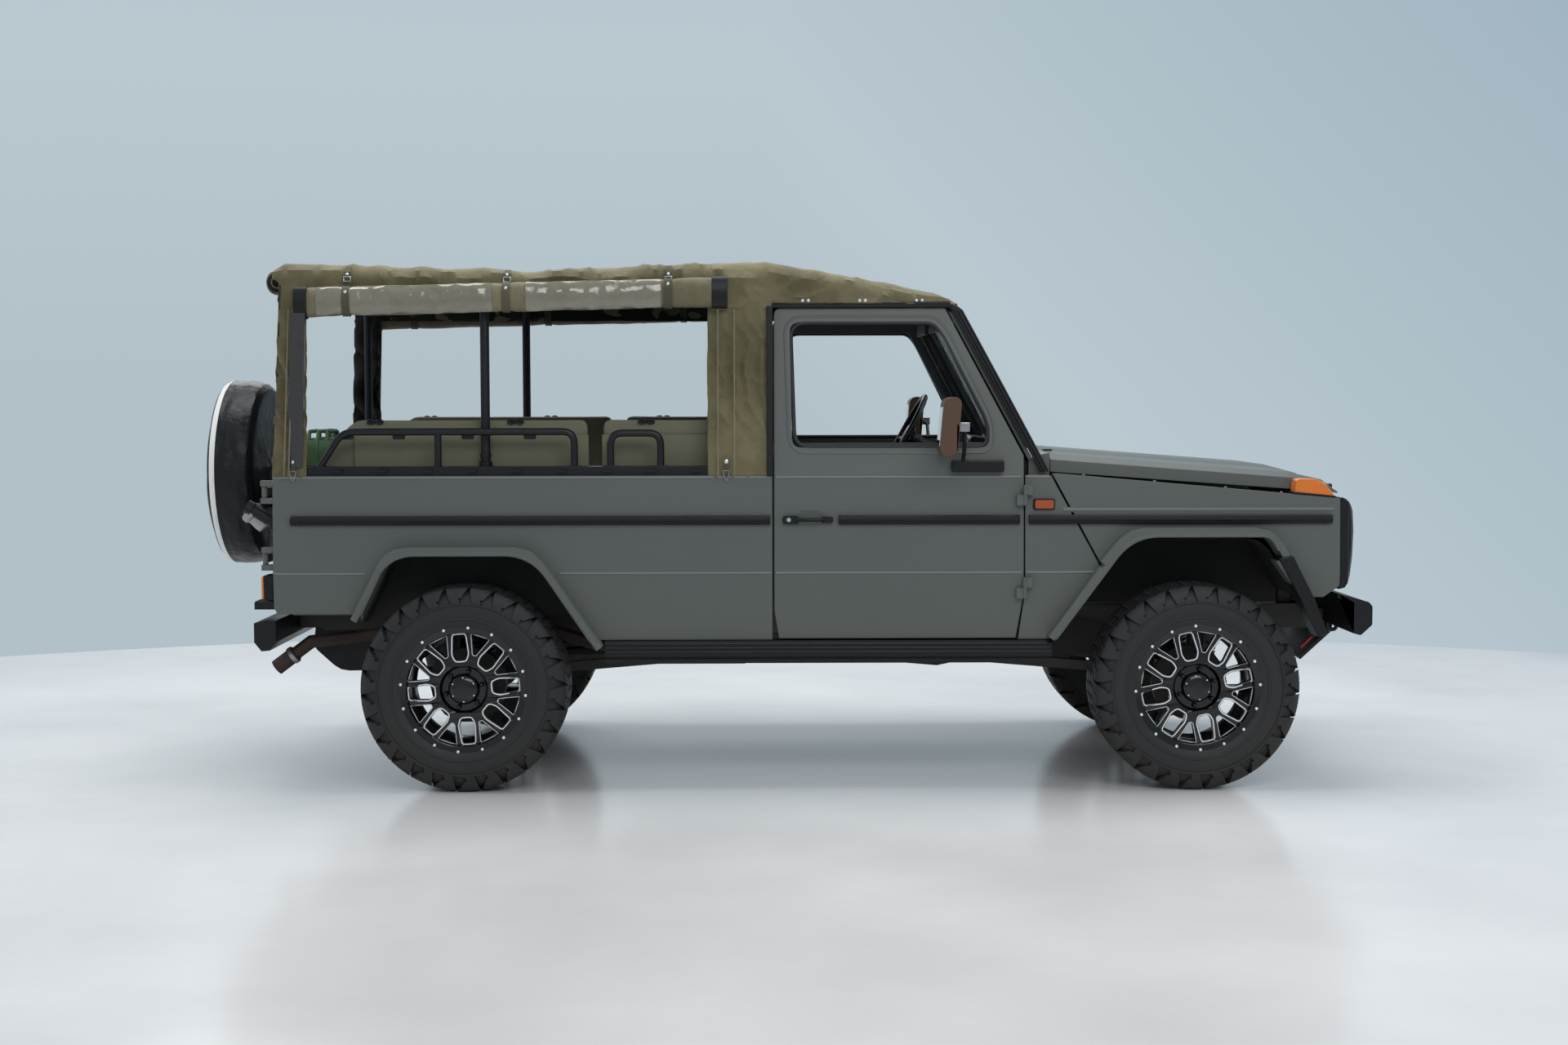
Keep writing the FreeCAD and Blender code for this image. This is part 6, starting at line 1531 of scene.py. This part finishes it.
def bench_back(outline):
    """A back pad, held at the side that lies on its board."""
    return swollen(block_mesh("side", outline, BACK_FACE, BACK_THICK, 34), lambda p: p.y < -0.6585, 0.007)


def bench_seat(start, stop):
    """A seat pad, held at its bottom."""
    outline = [(start, -650), (stop, -650), (stop, -306), (start, -306)]
    return swollen(block_mesh("plan", outline, SEAT_BOTTOM, SEAT_THICK, 30), lambda p: p.z < 1.0665, 0.009)


bench_pads = {
    "rear_bench_back": bench_back([(-568, 1142), (474, 1142), (474, 1446), (-440, 1446), (-568, 1318)]),
    "front_bench_back": bench_back([(532, 1142), (1083, 1142), (1083, 1446), (532, 1446)]),
    "rear_bench_seat": bench_seat(-480, 470),
    "front_bench_seat": bench_seat(536, 1079),
}
for name, shaped in bench_pads.items():
    right = placed_pad(f"{name}_right", shaped, seat_cloth)
    placed_pad(f"{name}_left", shaped, seat_cloth, mirror=True)
    if name == "rear_bench_back":
        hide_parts("bench_cushions")
for n, x in enumerate((-361, 190, 704)):
    for label, dx in (("a", -17), ("b", 17)):
        ring = [(x + dx + 13 * math.cos(a), 670, 1436 + 7 * math.sin(a)) for a in circle(20)]
        pipes(f"bench_latch_{n}_{label}", ring, 4, *STEEL, closed=True)
    bricks(f"bench_latch_plate_{n}", (x - 30, 662, 1431), (x + 30, 668, 1441), *STEEL)

# %% Front seats
SEAT_MIDDLE = 360
seat_cushion = swollen(block_mesh("side", [(1298, 812), (1784, 812), (1788, 900), (1756, 916), (1298, 890)],
                                  -598, 476, 26), lambda p: p.z < 0.815, 0.010)
seat_back = swollen(block_mesh("side", [(1300, 884), (1378, 884), (1274, 1366), (1250, 1388), (1214, 1382),
                                        (1210, 1300)], -590, 460, 30), lambda p: p.z < 0.887, 0.010)
for side_name, side in SIDES:
    middle = side * SEAT_MIDDLE
    cushion = placed_pad(f"front_seat_cushion_{side_name}", seat_cushion, front_cloth,
                         shift=middle + SEAT_MIDDLE)
    placed_pad(f"front_seat_back_{side_name}", seat_back, front_cloth, shift=middle + SEAT_MIDDLE)
    for n, dx in enumerate((-70, 70)):
        line = [(x, middle + dx, z) for x, z in ((1330, 909), (1500, 917), (1740, 928))]
        pipe(f"seat_seam_{n}_{side_name}", line, 2.5, front_cloth, "chassis", "seat_cloth")
    if side < 0:
        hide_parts("front_seats")
bricks("front_seat_box", (1330, SEAT_MIDDLE - 200, 742), (1720, SEAT_MIDDLE + 200, 800), *SATIN, bevel=6)
bricks("front_seat_pan", (1300, SEAT_MIDDLE - 225, 798), (1780, SEAT_MIDDLE + 225, 812), *SATIN, bevel=4)
pipes("seat_lever", [(1700, 575, 792), (1790, 575, 786)], 6, *STEEL)
print("padded pieces ready")

# %% [markdown]
# ## Driving controls
# The steering wheel is a round rim on three spokes, tilted with its column. Gear levers, pedals,
# instrument hood and grab handle complete the cab.

# %% Steering wheel
WHEEL_LOOK = (satin_black, "steering_wheel", "black_plastic")
wheel_middle = Vector((1792, 360, 1365))
TILT = math.radians(28.3)
column = Vector((math.cos(TILT), 0, -math.sin(TILT)))
wheel_up = Vector((math.sin(TILT), 0, math.cos(TILT)))


def on_wheel(radius, angle, along=0.0):
    """A point in the steering wheel's plane, moved along its column."""
    across = Vector((0, radius * math.cos(angle), 0))
    return wheel_middle + across + wheel_up * radius * math.sin(angle) + column * along


rim = pipe("steering_rim", [on_wheel(187, a) for a in circle(64)], 12.5, *WHEEL_LOOK, closed=True, sides=5)
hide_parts("steering_wheel")
for n, angle in enumerate((-0.15, math.pi + 0.15, -math.pi / 2)):
    pipe(f"steering_spoke_{n}", [on_wheel(28, angle, 22), on_wheel(90, angle, 16), on_wheel(182, angle, 2)],
         10, *WHEEL_LOOK)
turned("steering_hub", [(-4, 0.2), (-4, 40), (4, 52), (24, 52), (38, 30), (38, 0.2)], at(*wheel_middle),
       column, 32, *WHEEL_LOOK)

# %% Dashboard, levers and pedals
DASH_FACE = 2062
hood = [(2062, 1296), (2070, 1352), (2086, 1362), (2150, 1352), (2168, 1310), (2110, 1296)]
slab("instrument_hood", "side", hood, 200, 320, *TRIM, bevel=0.006)
gauge = [(0, 0.2), (0, 33), (6, 35), (6, 31), (3, 28), (3, 0.2)]
for n, y in enumerate((285, 360, 435)):
    turned(f"gauge_{n}", gauge, at(2066, y, 1328), (-1, 0, 0.25), 28, bright_bolt, "chassis", "black_plastic")
for n, (x, y, low, high) in enumerate(((1850, 40, 760, 1110), (1800, -40, 760, 1010))):
    pipe(f"gear_lever_{n}", [(x + 60, y, low), (x + 30, y, (low + high) / 2), (x, y, high)], 6, *STEEL,
         smooth_line=True)
    turned(f"gear_knob_{n}", [(0, 0.2), (0, 12), (14, 20), (30, 20), (42, 12), (46, 0.2)], at(x, y, high - 6),
           (-0.1, 0, 1), 20, *SEAL)
for n, y in enumerate((300, 400, 470)):
    pipe(f"pedal_arm_{n}", [(2150, y, 1120), (2110, y, 960), (2078, y, 880)], 6, *STEEL)
    brick(f"pedal_{n}", (2062, y - 24, 850), (2080, y + 24, 905), *SEAL, bevel=4)
grab = [(DASH_FACE, -560, 1262), (2030, -560, 1290), (2030, -260, 1290), (DASH_FACE, -260, 1262)]
pipe("grab_handle", bent(grab, 20, 5), 9, *SATIN)
for n, y in enumerate((-520, -80, 80, 560)):
    brick(f"dash_vent_{n}", (DASH_FACE, y - 48, 1230), (2074, y + 48, 1268), *SEAL, bevel=3)

# %% [markdown]
# ## Fuel can
# A pressed steel can has a raised seam round its middle, pressed channels that cross on its broad
# faces, three handles and a short spout with a cam lid.

# %% Can
CAN_MIDDLE = -604
can = slab("can_body", "cross", [(-608, 936), (-608, 1370), (-298, 1370), (-298, 936)], -664, 120, *CAN,
           radius=44, bevel=0.012)
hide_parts("jerry_can")
seam = [(CAN_MIDDLE, p.x, p.y) for p in soften([(-608, 938), (-608, 1370), (-298, 1370), (-298, 938)], 46)]
pipe("can_seam", seam, 4, *CAN, closed=True)
for n, x in enumerate((-665, -543)):
    for k, (start, stop) in enumerate(((990, 1340), (1340, 990))):
        pipe(f"can_cross_{n}_{k}", [(x, -570, start), (x, -336, stop)], 6, *CAN)
for n, x in enumerate((-640, CAN_MIDDLE, -568)):
    pipe(f"can_handle_{n}", bent([(x, -590, 1350), (x, -578, 1397), (x, -400, 1397), (x, -385, 1362)], 20, 4),
         8, *CAN)
turned("can_spout", [(0, 0.2), (0, 24), (30, 24), (34, 29), (46, 29), (48, 18), (48, 0.2)],
       at(CAN_MIDDLE, -340, 1352), (0, 0.35, 1), 24, *CAN)
for n, z in enumerate((1010, 1240)):
    brick(f"can_strap_{n}", (-670, -614, z), (-538, -294, z + 26), *WEB, bevel=2)
print("cab and load bed ready")

# %% [markdown]
# ## Nose, tail and underside
# Slats fill the mask's slots, the bumpers carry plates, hooks and bolts, and the tail door has pressed
# ribs and a handle. Coil springs stand between the axles and the frame.

# %% Nose
MASK_HALF = 398
for n in range(5):
    z = 870 + 44 * n
    slab(f"grille_slat_{n}", "side", [(3452, z + 2), (3486, z - 4), (3488, z + 2), (3454, z + 9)], -MASK_HALF,
         2 * MASK_HALF, *SATIN, bevel=0.0015)
    slab(f"grille_blade_{n}", "side", [(3450, z + 20), (3476, z + 16), (3477, z + 20), (3450, z + 26)],
         -MASK_HALF, 2 * MASK_HALF, *SATIN)
slab("grille_back", "side", [(3440, 866), (3444, 866), (3444, 1082), (3440, 1082)], -MASK_HALF, 2 * MASK_HALF,
     *SEAL)
pipes("mask_rim", [(3418, 787, 1134), (3436, 783, 1126), (3452, 772, 1100), (3462, 757, 1040),
                   (3462, 757, 940), (3450, 772, 850), (3420, 786, 786)], 5, *SATIN)
plates("bumper_end", [(3404, 763), (3526, 729), (3540, 712), (3540, 640), (3496, 599), (3468, 607),
                      (3468, 729), (3404, 745)], 800, 808, *SATIN, radius=5, bevel=0.003)
for n, z in enumerate((650, 700)):
    heads(f"bumper_bolt_{n}", [(0, 0.2), (0, 9), (5, 9), (7, 6), (7, 0.2)], (3539, 430, z), (1, 0, 0), 6,
          *GREY)
hook = [(3490, 345, 604), (3490, 345, 568), (3530, 345, 568), (3530, 345, 632)]
pipes("tow_loop", bent(hook, 18, 5), 8, *STEEL)
heads("bonnet_catch", [(-8, 0.2), (-8, 15), (10, 15), (14, 10), (14, 0.2)], (3428, 560, 1168), (0, 0, 1), 20,
      *on("bonnet", STEEL))
bricks("bonnet_stop", (2296, 420, 1312), (2330, 480, 1320), *on("bonnet", STEEL), bevel=2)
for n, x in enumerate((2420, 2700, 2980, 3200)):
    top = 1233 - (x - 2310) * 0.088
    heads(f"fender_bolt_{n}", [(0, 0.2), (0, 7), (3, 6), (4, 0.2)], (x, 715, top), (0, 0, 1), 8, *GREY)
pipes("skid_edge", [(3522, 306, 640), (3522, 306, 616), (3392, 306, 490)], 7, red_paint, "chassis",
      "red_paint")
ring = [(3440 + 22 * math.cos(a), -316, 560 + 20 * math.sin(a)) for a in circle(24)]
pipe("tow_ring", ring, 6, *STEEL, closed=True)

# %% Tail
for n, y in enumerate((-330, -110, 110, 330)):
    slab(f"tail_rib_{n}", "cross", [(y - 34, 860), (y + 34, 860), (y + 34, 1150), (y - 34, 1150)], -749, 5,
         *on("tail_door", PAINT), radius=26, bevel=0.003)
handle = [(-750, 560, 1030), (-786, 560, 1030), (-786, 560, 1150), (-750, 560, 1150)]
pipe("tail_handle", bent(handle, 18, 5), 9, *on("tail_door", SATIN))
brick("tail_lock", (-762, 500, 1070), (-742, 540, 1110), *on("tail_door", SATIN), bevel=3)
plates("tail_lamp_box", [(-744, 742), (-782, 746), (-784, 840), (-744, 842)], 686, 782, *TRIM, bevel=0.004)
for side_name, side in SIDES:
    tread = [(x, side * y) for x, y in ((-818, 670), (-744, 670), (-744, 782), (-818, 782))]
    slab(f"rear_step_tread_{side_name}", "plan", tread, 734, 5, *SEAL, radius=8, bevel=0.002)
pipes("rear_reflector", [(-822, 600, 612), (-822, 640, 612)], 9, *lamp(red_lens))
slab("hitch_block", "side", [(-742, 560), (-846, 566), (-846, 622), (-742, 640)], -46, 92, *CAST, bevel=0.006)
jaw = [(-846, -26, 596), (-902, -26, 596), (-902, 26, 596), (-846, 26, 596)]
pipe("hitch_jaw", bent(jaw, 26, 6), 10, *CAST)
turned("hitch_pin", [(0, 0.2), (0, 11), (78, 11), (84, 16), (90, 16), (92, 0.2)], at(-888, 0, 552),
       (0, 0, 1), 16, *GREY)

# %% Sills, tail pipe and springs
TAIL_WAY = (-130, 0, -98)
COIL_STEPS, COIL_TURNS, COIL_RADIUS, COIL_LOW, COIL_HEIGHT = 16, 6, 52, 456, 112
for n, z in enumerate((572, 556, 540)):
    pipes(f"sill_rib_{n}", [(548, 808, z), (2286, 808, z)], 4, *SATIN, sides=2)
for side_name, side in SIDES:
    for end, x in (("front", 2850), ("rear", 0)):
        steps = COIL_STEPS * COIL_TURNS
        coil = [(x + COIL_RADIUS * math.cos(TAU * k / COIL_STEPS),
                 side * 345 + COIL_RADIUS * math.sin(TAU * k / COIL_STEPS),
                 COIL_LOW + COIL_HEIGHT * k / steps) for k in range(steps + 1)]
        pipe(f"coil_{end}_{side_name}", coil, 7, satin_black, "chassis", "chassis_black", sides=3)
for label, profile, centre, material in (
        ("sleeve", [(0, 22), (0, 31), (96, 31), (96, 27), (4, 27)], (-702, -600, 514), rust),
        ("clamp", [(0, 31), (0, 36), (16, 36), (16, 31)], (-706, -600, 511), grey_steel)):
    turned(f"tail_pipe_{label}", profile, at(*centre), TAIL_WAY, 28, material, "chassis", "rusty_steel")
print("nose and tail ready")

# %% The sizes at the end
low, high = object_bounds()
{"cad": [list(cad_low), list(cad_high)], "visual": [list(low), list(high)]}
